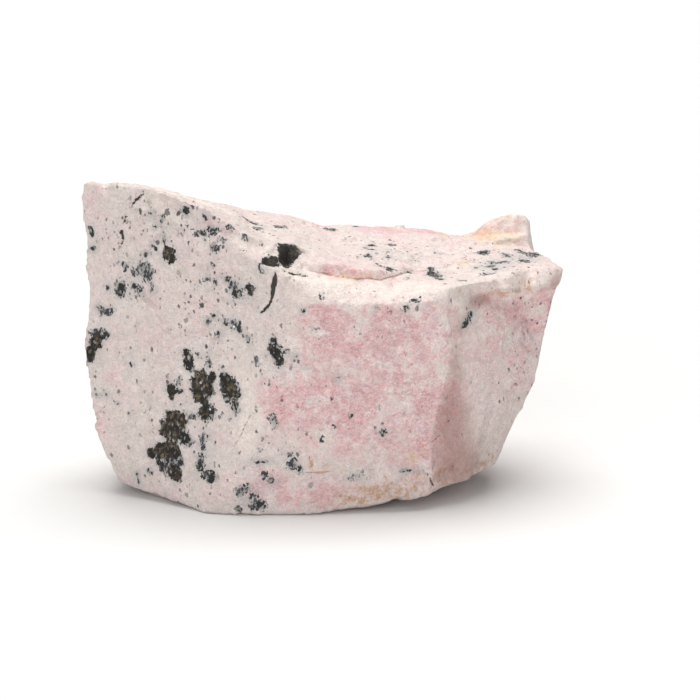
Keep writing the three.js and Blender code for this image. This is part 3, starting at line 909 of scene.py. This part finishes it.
# ---------------------------------------------------------------- the fine mesh of the stone
# Smoothing leaves this share of itself on a ridge, and adds up to SMOOTH_MORE away from one.
SMOOTH_LEAST = 0.04
SMOOTH_MORE = 0.5
SMOOTH_POWER = 1.5
SMOOTH_REACH = 0.8 * MM


def closed_copy(source):
    """A copy of a frame mesh with its loose triangles joined, and the same as a bmesh."""
    mesh = source.data.copy()
    work = bmesh.new()
    work.from_mesh(mesh)
    bmesh.ops.remove_doubles(work, verts=work.verts, dist=1e-6)
    work.to_mesh(mesh)
    return mesh, work


def ridge_points(work, angle, step):
    """Points along the edges where two broken faces meet at more than the angle."""
    found = []
    for edge in work.edges:
        if len(edge.link_faces) == 2 and edge.calc_face_angle() > angle:
            start, end = (v.co for v in edge.verts)
            count = max(2, int((end - start).length / step))
            found += [start.lerp(end, i / count) for i in range(count + 1)]
    return np.array(found)


def coordinates(mesh):
    """The mesh's points, a row for each."""
    found = np.zeros(len(mesh.vertices) * 3)
    mesh.vertices.foreach_get("co", found)
    return found.reshape(-1, 3)


def apply_modifiers(thing):
    """The thing's mesh as its modifiers leave it. The modifiers are removed."""
    bpy.context.view_layer.update()
    graph = bpy.context.evaluated_depsgraph_get()
    made = bpy.data.meshes.new_from_object(thing.evaluated_get(graph), depsgraph=graph)
    made.name = thing.name
    thing.modifiers.clear()
    thing.data = made
    return made


def nearest_distance(points, targets, limit):
    """How far each point is from the nearest target, up to a limit."""
    tree = KDTree(len(targets))
    for index, target in enumerate(targets):
        tree.insert(target, index)
    tree.balance()
    return np.array([min(limit, tree.find(point)[2]) for point in points])


def smooth_between_ridges(mesh, ridges, rounds):
    """Smooths the surface, less and less towards the ridges."""
    points = coordinates(mesh)
    ends = np.zeros(len(mesh.edges) * 2, dtype=np.int64)
    mesh.edges.foreach_get("vertices", ends)
    first, second = ends.reshape(-1, 2).T
    count = np.bincount(np.r_[first, second], minlength=len(points))[:, None]
    share = nearest_distance(points, ridges, SMOOTH_REACH) / SMOOTH_REACH
    share = (SMOOTH_LEAST + SMOOTH_MORE * share**SMOOTH_POWER)[:, None]
    for _ in range(rounds):
        total = np.zeros_like(points)
        np.add.at(total, first, points[second])
        np.add.at(total, second, points[first])
        points += share * (total / count - points)
    mesh.vertices.foreach_set("co", points.ravel())
    mesh.update()


# ---------------------------------------------------------------- minerals as numbers on the mesh
# A look starts this far off. One that passes the stone by meets the surface that is nearest to
# where it has come to after LOOK_LENGTH.
LOOK_START = 100.0
LOOK_LENGTH = 95.0
# An oval reaches this much further into the stone than across it.
OVAL_DEPTH = 1.4
# How fast a soft patch or a swelling fades outwards.
FADE = 0.8
# Distances are worked out up to these, in millimetres.
GRAIN_REACH = 2.0
VEIN_REACH = 0.5
# Most of the front and the top has its grains listed one by one. The other sides are
# where the surface turns away from this direction by more than the limit.
LAID_SIDE = np.array([0.0, -0.96, 0.28])
LAID_LIMIT = -0.4
# A scattered group has at least this many grains, and fewer than the second number.
GROUP_COUNT = (1, 5)
# The share of the group's size that a grain has, how far apart its grains lie, and how squat or
# tall they are.
GRAIN_SHARE = (0.4, 1.0)
GROUP_SPREAD = 0.8
GRAIN_STRETCH = (0.5, 1.6)
# The umber and its painted shade begin where the surface turns this much to the right, and are full
# a little further.
RIGHT_SHADE_TURN = 0.3
RIGHT_SHADE_SPAN = 0.12


def oval(offsets, halves):
    """Each point's place in an oval, where its edge is at 1, and how steep that is."""
    scaled = offsets / halves
    steep = np.linalg.norm(scaled / halves, axis=1)
    return np.linalg.norm(scaled, axis=1), np.maximum(steep, 1e-6)


class Surface:
    """The stone's points in millimetres, and where a look from one side meets them."""

    def __init__(self, mesh):
        self.mesh = mesh
        self.points = coordinates(mesh) / MM
        self.normals = np.array([v.normal for v in mesh.vertices])
        triangles = [tuple(face.vertices) for face in mesh.polygons]
        self.tree = BVHTree.FromPolygons([Vector(p) for p in self.points], triangles)

    def meet(self, side, across, up):
        """Where a look from that side meets the stone."""
        right, upward, look = (np.array(axis, dtype=float) for axis in SIDES[side])
        start = across * right + up * upward - LOOK_START * look
        place = self.tree.ray_cast(Vector(start), Vector(look))[0]
        if place is None:
            place = self.tree.find_nearest(Vector(start + LOOK_LENGTH * look))[0]
        return np.array(place)

    def offsets(self, side, across, up, half_across, half_up, turn=0):
        """Each point's place in an oval on that side, and how steep that is."""
        right, upward, look = (np.array(axis, dtype=float) for axis in SIDES[side])
        angle = math.radians(turn)
        long = math.cos(angle) * right + math.sin(angle) * upward
        tall = math.cos(angle) * upward - math.sin(angle) * right
        axes = np.stack([long, tall, look], axis=1)
        halves = np.array([half_across, half_up, OVAL_DEPTH * max(half_across, half_up)])
        return oval((self.points - self.meet(side, across, up)) @ axes, halves)

    def grains(self, kinds):
        """How far each point is outside the nearest grain, less than nothing inside one, and
        half that grain's width."""
        nearest = np.full(len(self.points), GRAIN_REACH)
        width = nearest.copy()
        for side, places in kinds.items():
            for place in places:
                reach, steep = self.offsets(side, *place)
                nearest, width = nearer(nearest, width, reach, steep, min(place[2:4]))
        return nearest, width

    def patches(self, kinds):
        """The share of a soft colour at each point."""
        left = np.ones(len(self.points))
        for side, places in kinds.items():
            for across, up, half_across, half_up, strength in places:
                reach, _ = self.offsets(side, across, up, half_across, half_up)
                left *= 1.0 - strength * np.exp(-FADE * reach**2)
        return 1.0 - left

    def bulges(self, kinds):
        """How far each point is moved out by the swellings, in millimetres."""
        height = np.zeros(len(self.points))
        for side, places in kinds.items():
            for *place, rise in places:
                reach, _ = self.offsets(side, *place)
                height += rise * np.exp(-FADE * reach**2)
        return height

    def veins(self, runs):
        """How far each point is inside the nearest vein, less than nothing outside one."""
        nearest = np.full(len(self.points), VEIN_REACH)
        width = -nearest
        for side, run in runs:
            places = [self.meet(side, across, up) for across, up, _ in run]
            for i in range(len(run) - 1):
                along = places[i + 1] - places[i]
                offset = self.points - places[i]
                share = np.clip(offset @ along / (along @ along), 0.0, 1.0)
                distance = np.linalg.norm(offset - share[:, None] * along, axis=1)
                half = run[i][2] + share * (run[i + 1][2] - run[i][2])
                width = np.where(distance < nearest, half, width)
                nearest = np.minimum(nearest, distance)
        return width - nearest

    def keep(self, name, numbers):
        """Writes one number for each point on the mesh."""
        kept = self.mesh.attributes.new(name, "FLOAT", "POINT")
        kept.data.foreach_set("value", numbers.astype(np.float32))


def nearer(nearest, width, reach, steep, half):
    """The nearest grain so far and its half width, after one more grain."""
    gap = reach * (reach - 1.0) / steep
    return np.minimum(nearest, gap), np.where(gap < nearest, half, width)


def scattered_grains(surface, seed, count, smallest, largest, power):
    """Grains for the sides that the listed ones leave out: distances and half widths. They
    lie in groups, and a higher power makes more of the groups small."""
    draw = np.random.default_rng(seed)
    hidden = surface.normals @ LAID_SIDE < LAID_LIMIT
    chosen = draw.choice(np.flatnonzero(hidden), count, replace=False)
    nearest = np.full(len(surface.points), GRAIN_REACH)
    width = nearest.copy()
    for index in chosen:
        group = smallest + (largest - smallest) * draw.random() ** power
        for _ in range(draw.integers(*GROUP_COUNT)):
            half = group * draw.uniform(*GRAIN_SHARE)
            middle = surface.points[index] + draw.normal(0.0, group * GROUP_SPREAD, 3)
            stretch = draw.uniform(*GRAIN_STRETCH, 3)
            reach, steep = oval(surface.points - middle, half * stretch)
            nearest, width = nearer(nearest, width, reach, steep, half)
    return nearest, width


def lay_minerals(mesh, seed):
    """Works out where each mineral shows, and keeps it on the mesh for relief and colour."""
    surface = Surface(mesh)
    hidden_black, hidden_width = scattered_grains(
        surface, seed + 1, count=46, smallest=0.25, largest=1.7, power=3.0)
    hidden_ash, _ = scattered_grains(
        surface, seed + 2, count=60, smallest=0.3, largest=1.6, power=2.0)
    black, width = surface.grains(BLACK)
    surface.keep("black", np.minimum(black, hidden_black))
    surface.keep("black_width", np.where(hidden_black < black, hidden_width, width))
    surface.keep("ash", np.minimum(surface.grains(ASH)[0], hidden_ash))
    surface.keep("olive", surface.grains(OLIVE)[0])
    # The white spots are painted glints.
    surface.keep("white", surface.grains(PAINTED_GLINTS)[0])
    for name, kinds in (("rose", ROSE_AND_SHADE), ("pale", PALE_AND_LIT), ("rust", RUST_AND_SHADE), ("ochre", OCHRE),
                        ("pepper", PEPPER), ("smoke", SMOKE), ("jet", JET)):
        surface.keep(name, surface.patches(kinds))
    # Painted shade: the umber is laid only where the surface turns to the right, so that side comes
    # out darker.
    right_shade_mask = np.clip((surface.normals[:, 0] - RIGHT_SHADE_TURN) / RIGHT_SHADE_SPAN, 0.0, 1.0)
    surface.keep("umber_and_shade", surface.patches(UMBER_AND_SHADE) * right_shade_mask)
    for name, runs in (("vein", VEINS), ("seam", SEAMS), ("rim_highlight", RIMS_AND_HIGHLIGHTS)):
        surface.keep(name, surface.veins(runs))
    surface.keep("bulge", surface.bulges(BULGES))


# ---------------------------------------------------------------- the broken surface
# The sizes that the relief nodes take as inputs.
RELIEF_SIZES = ("swell_size", "swell_height", "chip_size", "chip_height", "grain_size",
                "grain_height", "pit_depth", "crystal_size", "crystal_height", "crack_depth",
                "seed")


def input_name(size):
    """What a size is called on the relief nodes: Swell Size for swell_size."""
    return size.replace("_", " ").title()


def relief_tree(material):
    """The nodes that turn the smooth stone into a broken one. Its sizes are inputs in metres."""
    tree = bpy.data.node_groups.new("Broken surface", "GeometryNodeTree")
    face = tree.interface
    face.new_socket("Geometry", in_out="INPUT", socket_type="NodeSocketGeometry")
    for name in RELIEF_SIZES:
        face.new_socket(input_name(name), in_out="INPUT", socket_type="NodeSocketFloat")
    face.new_socket("Geometry", in_out="OUTPUT", socket_type="NodeSocketGeometry")
    graph = Graph(tree)
    entry = graph.node("NodeGroupInput")
    size = {name: entry.twin(input_name(name)) for name in RELIEF_SIZES}
    place = graph.node("GeometryNodeInputPosition")

    def field(name):
        """A number that is kept on the mesh."""
        return graph.node("GeometryNodeInputNamedAttribute", {"data_type": "FLOAT"},
                          {"Name": name}, "Attribute")

    def noise(width, detail, seed_step, output="Fac"):
        """Noise of its own for each step of the seed."""
        return graph.noise(place, width, detail, 0.6, size["seed"] + seed_step, output)

    def tilted_cells(width, seed_step):
        """Flat facets with crooked borders: each slopes its own way, and steps from the next."""
        where = graph.moved(place, noise(width, 3.0, seed_step + 0.5, "Color"), width * 1.4)
        cell = graph.node(
            "ShaderNodeTexVoronoi", {"voronoi_dimensions": "4D"},
            {"Vector": where, "W": size["seed"] + seed_step, "Scale": 1.0 / width}, "Color")
        away = graph.shift(where, "SUBTRACT", cell.twin("Position"))
        return graph.node("ShaderNodeVectorMath", {"operation": "DOT_PRODUCT"},
                          {0: away, 1: graph.centred(cell)}, "Value") / width

    inside = field("black").ramp(0.15, -0.25)
    crack = field("vein").ramp(-0.12, 0.1) + field("seam").ramp(-0.1, 0.02) * 0.4
    chipped = noise(size["swell_size"], 1.0, 2.0).ramp(0.35, 0.6) * 0.75 + 0.25
    large_chips = tilted_cells(size["chip_size"] * 2.4, 3.0)
    middle_chips = tilted_cells(size["chip_size"], 4.0)
    small_chips = tilted_cells(size["chip_size"] * 0.42, 5.0)
    chips = large_chips * 2.0 + middle_chips + small_chips * 0.6
    height = (noise(size["swell_size"], 1.0, 0.0) - 0.5) * size["swell_height"] * 2.0
    calm = (1 - inside) * (1 - field("pale") * 0.75)
    height = height + chips * size["chip_height"] * chipped * calm
    height = height + (noise(size["grain_size"], 4.0, 5.0) - 0.5) * size["grain_height"] * 2.0
    height = height + tilted_cells(size["crystal_size"], 9.0) * size["crystal_height"] * inside
    height = height - inside * size["pit_depth"] - crack * size["crack_depth"]
    rim_highlight = field("rim_highlight").ramp(-0.2, 0.1)
    height = height + rim_highlight * size["crack_depth"] * 0.6 + field("bulge") * MM
    offset = graph.scaled(graph.node("GeometryNodeInputNormal"), height)
    broken = graph.node("GeometryNodeSetPosition", None,
                        {"Geometry": entry.twin("Geometry"), "Offset": offset})
    whole = graph.node("GeometryNodeRealizeInstances", None, {"Geometry": broken})
    dressed = graph.node("GeometryNodeSetMaterial", None, {"Geometry": whole, "Material": material})
    graph.node("NodeGroupOutput", None, {"Geometry": dressed})
    return tree


def roughen(stone, sizes, material):
    """Breaks the surface with the relief nodes, then rests the foot flat on the ground again."""
    tree = relief_tree(material)
    modifier = stone.modifiers.new("Broken surface", "NODES")
    modifier.node_group = tree
    wanted = {input_name(name): float(getattr(sizes, name)) for name in RELIEF_SIZES}
    for item in tree.interface.items_tree:
        if item.name in wanted:
            modifier[item.identifier] = wanted[item.name]
    mesh = apply_modifiers(stone)
    points = coordinates(mesh)
    points[:, 2] = np.maximum(points[:, 2], 0.0)
    mesh.vertices.foreach_set("co", points.ravel())
    mesh.update()


# ---------------------------------------------------------------- the stone's colours
class Rock(Paint):
    """The stone's material, laid down a mineral at a time."""

    def __init__(self, name, colours):
        super().__init__(name)
        self.colours = colours
        object_place = self.node("ShaderNodeTexCoord", None, None, "Object")
        self.place = self.scaled(object_place, 1.0 / MM)
        self.bent = self.pushed(self.place, 1.6, 1.5)
        self.nudged = self.pushed(self.place, 0.35, 0.2)
        self.ragged = (self.noise(self.place, 1.0, 6.0, 0.75, 4.0) - 0.5) * 2.4
        self.grit = self.noise(self.place, 0.22, 2.0, 0.6, 3.0)
        self.fleck = self.noise(self.place, 0.13, 1.0, 0.5, 14.0)
        self.crumb = self.lot(self.cells(self.nudged, 0.5), "Red") - 0.5
        upright = self.shift(self.nudged, "MULTIPLY", (1.0, 1.0, 0.65))
        self.crystal = self.cells(upright, 0.22)
        self.speck = self.lot(self.crystal, "Green") - 0.5
        self.pale_thread = self.threads(0.15, 6.0, 0.07).most(self.threads(-0.6, 8.0, 0.05))
        self.red_thread = self.threads(-0.1, 9.0, 0.07)

    def pushed(self, place, size, amount):
        """The place, pushed about by soft noise so that what is drawn there looks bent."""
        push = self.node("ShaderNodeTexNoise", None,
                         {"Vector": place, "Scale": 1.0 / size, "Detail": 3.0}, "Color")
        return self.moved(place, push, amount)

    def threads(self, turn, seed, thickness):
        """Thin winding threads that lie mostly across the front, turned by that many radians."""
        turned = self.node("ShaderNodeVectorRotate", {"rotation_type": "Y_AXIS"},
                           {"Vector": self.bent, "Angle": turn})
        lie = self.shift(turned, "MULTIPLY", (1.0, 1.6, 3.0))
        weave = self.noise(lie, 1.2, 3.0, 0.6, seed)
        return abs(weave - 0.5).ramp(thickness, 0.0)

    def lot(self, cell, channel):
        """One of a cell's three random numbers."""
        return self.node("ShaderNodeSeparateColor", None, {"Color": cell.twin("Color")}, channel)

    def plain(self):
        """Beige and faintly pink rock, clouded with white and grey."""
        broad = self.noise(self.bent, 3.0, 5.0, 0.62, 1.0)
        clouds = self.noise(self.bent, 1.1, 4.0, 0.65, 2.0)
        upright = self.shift(self.place, "MULTIPLY", (1.0, 1.0, 0.45))
        streaks = self.noise(upright, 0.6, 5.0, 0.72, 7.0)
        colour = self.blend(broad.ramp(0.4, 0.6), self.colours.beige, self.colours.blush)
        grey = streaks.ramp(0.5, 0.66) * (0.62 - self.field("rose") * 0.5)
        colour = self.blend(grey, colour, self.colours.haze)
        colour = self.blend(streaks.ramp(0.46, 0.34) * 0.5, colour, self.colours.pale)
        # The pale patches, which on the right flank are painted light.
        white = self.field("pale") * 0.9 + clouds - 0.5
        return self.blend(white.ramp(0.04, 0.65), colour, self.colours.pale)

    def pink(self, colour):
        """The pink mineral: felted threads, deep pink here and white there."""
        # The rose field also holds a band of painted shade under the brow.
        rose = self.field("rose")
        banks = self.noise(self.bent, 2.6, 4.0, 0.65, 17.0) - 0.5
        clouds = self.noise(self.bent, 0.9, 6.0, 0.75, 5.0) - 0.5
        wash = rose + (banks * 4.0 + clouds * 2.2) * (rose + 0.1)
        cold = self.noise(self.bent, 1.4, 2.0, 0.5, 27.0).ramp(0.48, 0.66)
        tint = self.blend(cold * 0.7, self.colours.rose, self.colours.lilac)
        colour = self.blend(wash.ramp(0.12, 0.8) * 0.9, colour, tint)
        felted = rose * 0.85 + 0.15
        colour = self.blend(self.pale_thread * felted * 0.85, colour, self.colours.strand)
        rings = (self.noise(self.bent, 1.7, 2.0, 0.5, 23.0) * 26.0).math("PINGPONG", 0.5) * 2.0
        swirl = rings.ramp(0.35, 0.95) * (clouds + banks).ramp(-0.16, 0.16)
        colour = self.blend(swirl * rose * 0.6, colour, self.colours.strand)
        clumps = (clouds + banks * 0.8 + rose * 0.18).ramp(0.02, 0.24)
        lines = (self.red_thread * 0.6 + 0.4) * (1.0 - rings * 0.5)
        deep = clumps * lines * rose.ramp(0.1, 0.7)
        return self.blend(deep * 0.9, colour, self.colours.deep_rose)

    def stains(self, colour):
        """Rust and ochre that soaked in from the foot and the back, the mauve brown of the right
        flank, brown seams and pale rims. The rust and the mauve brown also paint shade, and the
        rims paint highlight.
        """
        wash = self.noise(self.bent, 0.8, 6.0, 0.75, 9.0) - 0.5
        # The rust patches include painted shade under the brow, on the right flank and under the
        # folded lobe.
        rust = self.field("rust") * 0.85 + wash * 2.8 + (self.grit - 0.5) * 1.5
        rust = (rust + self.crumb * 0.35).ramp(0.3, 1.0)
        colour = self.blend(rust * 0.8, colour, self.colours.rust)
        ochre = (self.field("ochre") + wash * 1.5).ramp(0.35, 0.95)
        colour = self.blend(ochre * 0.75, colour, self.colours.ochre)
        # The right flank's mauve brown, partly painted shade.
        umber_and_shade = (self.field("umber_and_shade") + wash * 0.5 + (self.grit - 0.5) * 0.3).ramp(0.1, 0.9)
        colour = self.blend(umber_and_shade * 0.75, colour, self.colours.umber_and_shade)
        seam = (self.field("seam") + self.ragged * 0.08).ramp(-0.05, 0.05)
        brown = self.blend(self.field("rust").ramp(0.1, 0.5), self.colours.seam, self.colours.rust)
        colour = self.blend(seam * 0.75, colour, brown)
        # Pale rims along the broken edges, partly painted highlight.
        rim_highlight = (self.field("rim_highlight") + self.ragged * 0.1).ramp(-0.06, 0.06)
        return self.blend(rim_highlight * 0.8, colour, self.colours.pale)

    def ash(self, colour):
        """Grey patches: tiny dark and white grains side by side."""
        halo = (self.field("black") + self.ragged * 0.5).ramp(0.7, 0.0)
        smoke = (self.field("smoke") + self.ragged * 0.12).ramp(0.1, 0.9)
        colour = self.blend((halo * 0.5).most(smoke * 0.75), colour, self.colours.ash_light)
        inside = (self.field("ash") + self.ragged * 0.4 + self.crumb * 0.3).ramp(0.25, -0.15)
        colour = self.blend(inside * 0.75, colour, self.colours.ash_light)
        core = (self.field("ash") + self.ragged * 0.15).ramp(0.0, -0.4)
        colour = self.blend(core * 0.42, colour, self.colours.ash_dark)
        grains = (inside * 0.55 - self.lot(self.crystal, "Blue")).ramp(-0.02, 0.02)
        return self.blend(grains * (self.speck + 1.0).least(1.0), colour, self.colours.ash_dark)

    def freckles(self, colour):
        """Small dark grains strewn where the pepper field says."""
        clusters = self.noise(self.place, 2.2, 3.0, 0.6, 21.0).ramp(0.42, 0.62)
        share = self.field("pepper") * (clusters * 0.7 + 0.25) + 0.006
        upright = self.shift(self.nudged, "MULTIPLY", (1.0, 1.0, 0.75))
        for size, largest, step in ((1.3, 0.26, 0.0), (0.75, 0.2, 20.0), (0.45, 0.14, 40.0)):
            cell = self.cells(self.shift(upright, "ADD", (step, step, step)), size)
            chosen = (share - self.lot(cell, "Red")).ramp(0.0, 0.005)
            reach = self.lot(cell, "Green") ** 1.5 * largest
            gap = cell * size + self.ragged * 0.12 + self.speck * 0.12 - reach - 0.05
            tone = self.lot(cell, "Blue") * 0.5 + 0.42
            colour = self.blend(gap.ramp(0.04, -0.04) * chosen * tone, colour,
                                self.colours.ash_dark)
        return colour

    def dark(self, colour):
        """Black grains with brown middles, olive grains, and the black in the veins."""
        big = (self.field("black_width") * 1.3).least(1.0)
        crumbs = self.crumb * 0.35 + self.speck * 0.22
        rough = big * 0.75 + 0.25
        gap = self.field("black") + (self.ragged * 0.34 + crumbs) * rough - 0.08 * big
        inside = gap.ramp(0.04, -0.04) * self.field("rim_highlight").ramp(0.0, -0.1)
        mottle = self.noise(self.place, 0.6, 5.0, 0.8, 12.0)
        tone = (mottle + self.speck * 0.16) * big.ramp(0.3, 1.0) ** 0.3
        plain = 1.0 - self.field("jet")
        brown = tone.ramp(0.44, 0.66) * plain
        grain = self.blend(brown, self.colours.black, self.colours.brown)
        small = big.ramp(0.75, 0.3)
        grain = self.blend(small * 0.6, grain, self.colours.ash_dark)
        hollows = (small * 0.3 - self.lot(self.crystal, "Blue")).ramp(0.0, 0.03)
        grain = self.blend(hollows * 0.8, grain, self.colours.ash_light)
        glints = self.lot(self.crystal, "Blue").ramp(0.84, 0.9) * plain
        grain = self.blend(glints * 0.5, grain, self.colours.olive)
        pale = self.lot(self.crystal, "Red").ramp(0.93, 0.97) * plain
        grain = self.blend(pale * 0.45, grain, self.colours.ash_light)
        colour = self.blend(inside, colour, grain)
        olive = (self.field("olive") + self.ragged * 0.2 + self.speck * 0.3).ramp(0.12, -0.1)
        colour = self.blend(olive * 0.5, colour, self.colours.olive)
        vein = self.field("vein") + self.ragged * 0.16 + crumbs * 0.36
        vein = vein.ramp(-0.03, 0.03)
        line = self.blend(mottle.ramp(0.52, 0.75), self.colours.black, self.colours.brown)
        return self.blend(vein * 0.95, colour, line), inside.most(vein)

    def stone(self):
        """The whole material, from the plain rock up to the last painted white glint."""
        colour, black = self.dark(self.freckles(self.ash(self.stains(self.pink(self.plain())))))
        # Painted highlight: small white glints, made shinier than the rock around them.
        bright = (self.field("white") + self.ragged * 0.06).ramp(0.05, -0.05)
        colour = self.blend(bright, colour, self.colours.white)
        smudge = self.noise(self.place, 0.7, 3.0, 0.6, 16.0)
        tone = 0.45 + self.grit * 0.45 + self.fleck * 0.3 + smudge * 0.35
        colour = self.scaled(colour, tone)
        sheen = black.most(bright)
        roughness = 0.8 - sheen * 0.3 + (self.grit - 0.5) * 0.12
        facet = self.lot(self.cells(self.place, 0.4), "Blue")
        splinter = self.cells(self.pushed(self.place, 0.8, 0.7), 0.9)
        bumps = self.grit * 0.6 + self.fleck * 0.25 + black * facet * 0.7 + splinter * 0.4
        bumps = bumps + self.pale_thread * 0.3 + smudge * 0.6
        normal = self.node("ShaderNodeBump", None,
                           {"Strength": 0.8, "Distance": 0.16 * MM, "Height": bumps})
        return self.finish({"IOR": 1.55, "Specular IOR Level": 0.25},
                           {"Base Color": colour, "Roughness": roughness, "Normal": normal})


# ---------------------------------------------------------------- operators
class SPECIMEN_OT_stone(bpy.types.Operator):
    """Make the broken stone with its minerals"""

    bl_idname = "specimen.stone"
    bl_label = "Make the stone"

    def execute(self, context):
        sizes = context.scene.specimen_sizes
        mesh, work = closed_copy(CAD_STONE)
        ridges = ridge_points(work, sizes.ridge_angle, sizes.mesh_step)
        work.free()
        stone = bpy.data.objects.new("specimen_stone", mesh)
        context.scene.collection.objects.link(stone)
        remesh = stone.modifiers.new("Fine mesh", "REMESH")
        remesh.mode = "VOXEL"
        remesh.voxel_size = sizes.mesh_step
        remesh.use_smooth_shade = True
        fine = apply_modifiers(stone)
        smooth_between_ridges(fine, ridges, sizes.smooth_rounds)
        lay_minerals(fine, sizes.seed)
        material = Rock("Rhodochrosite", context.scene.specimen_colours).stone()
        roughen(stone, sizes, material)
        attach(stone, "root")
        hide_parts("stone")
        return {"FINISHED"}


def area_light(name, place, target, width, power, colour):
    """A square soft light that shines on the target."""
    light = bpy.data.lights.new(name, "AREA")
    light.color = colour
    light.size = width
    light.energy = power
    lamp = bpy.data.objects.new(name, light)
    lamp.location = place
    lamp.rotation_euler = (Vector(target) - Vector(place)).to_track_quat("-Z", "Y").to_euler()
    bpy.context.scene.collection.objects.link(lamp)


class SPECIMEN_OT_stage(bpy.types.Operator):
    """Set the floor, the lights and the camera"""

    bl_idname = "specimen.stage"
    bl_label = "Set the stage"

    def execute(self, context):
        scene = context.scene
        stage = scene.specimen_stage
        half = stage.floor_width / 2
        mesh = bpy.data.meshes.new("floor")
        corners = [(-half, -half, 0), (half, -half, 0), (half, half, 0), (-half, half, 0)]
        mesh.from_pydata(corners, [], [(0, 1, 2, 3)])
        floor = bpy.data.objects.new("floor", mesh)
        scene.collection.objects.link(floor)
        paint = Paint("Pale floor")
        mesh.materials.append(paint.finish(
            {"Base Color": (0.8, 0.8, 0.8, 1.0), "Roughness": 0.9}, {}))

        world = bpy.data.worlds.new("Even light")
        world.use_nodes = True
        background = world.node_tree.nodes["Background"]
        background.inputs["Color"].default_value = (1.0, 1.0, 1.0, 1.0)
        background.inputs["Strength"].default_value = stage.sky
        scene.world = world

        aim = Vector(stage.aim)
        white = (1.0, 1.0, 1.0)
        for name, away, power, colour in (
                ("key light", stage.key_from, stage.key, stage.key_colour),
                ("fill light", stage.fill_from, stage.fill, white)):
            area_light(name, aim + Vector(away), aim, stage.lamp_width, power, colour)

        camera = bpy.data.objects.new("camera", bpy.data.cameras.new("camera"))
        back = Vector((0, -math.cos(stage.elevation), math.sin(stage.elevation)))
        camera.location = aim + back * stage.distance
        camera.rotation_euler = (math.radians(90) - stage.elevation, 0, 0)
        camera.data.lens = camera.data.sensor_width * stage.distance / stage.view_width
        camera.data.clip_start = 0.01
        scene.collection.objects.link(camera)
        scene.camera = camera
        scene.view_settings.view_transform = "Standard"
        return {"FINISHED"}


class SPECIMEN_PT_panel(bpy.types.Panel):
    """The specimen's sizes, colours and stage"""

    bl_label = "Specimen"
    bl_idname = "SPECIMEN_PT_panel"
    bl_space_type = "VIEW_3D"
    bl_region_type = "UI"
    bl_category = "Specimen"

    def draw(self, context):
        scene = context.scene
        for operator, settings in (
                (SPECIMEN_OT_stone, (scene.specimen_sizes, scene.specimen_colours)),
                (SPECIMEN_OT_stage, (scene.specimen_stage,))):
            self.layout.operator(operator.bl_idname)
            for group in settings:
                for name in group.__annotations__:
                    self.layout.prop(group, name)


CLASSES = (StoneSizes, StoneColours, StageSettings, SPECIMEN_OT_stone, SPECIMEN_OT_stage,
           SPECIMEN_PT_panel)


def register():
    """Makes the classes and their settings known to Blender."""
    for kind in CLASSES:
        bpy.utils.register_class(kind)
    bpy.types.Scene.specimen_sizes = PointerProperty(type=StoneSizes)
    bpy.types.Scene.specimen_colours = PointerProperty(type=StoneColours)
    bpy.types.Scene.specimen_stage = PointerProperty(type=StageSettings)


def unregister():
    """Takes the classes and their settings away again."""
    del bpy.types.Scene.specimen_stage
    del bpy.types.Scene.specimen_colours
    del bpy.types.Scene.specimen_sizes
    for kind in reversed(CLASSES):
        bpy.utils.unregister_class(kind)


def main():
    register()
    bpy.ops.specimen.stone()
    bpy.ops.specimen.stage()


if __name__ == "__main__":
    main()
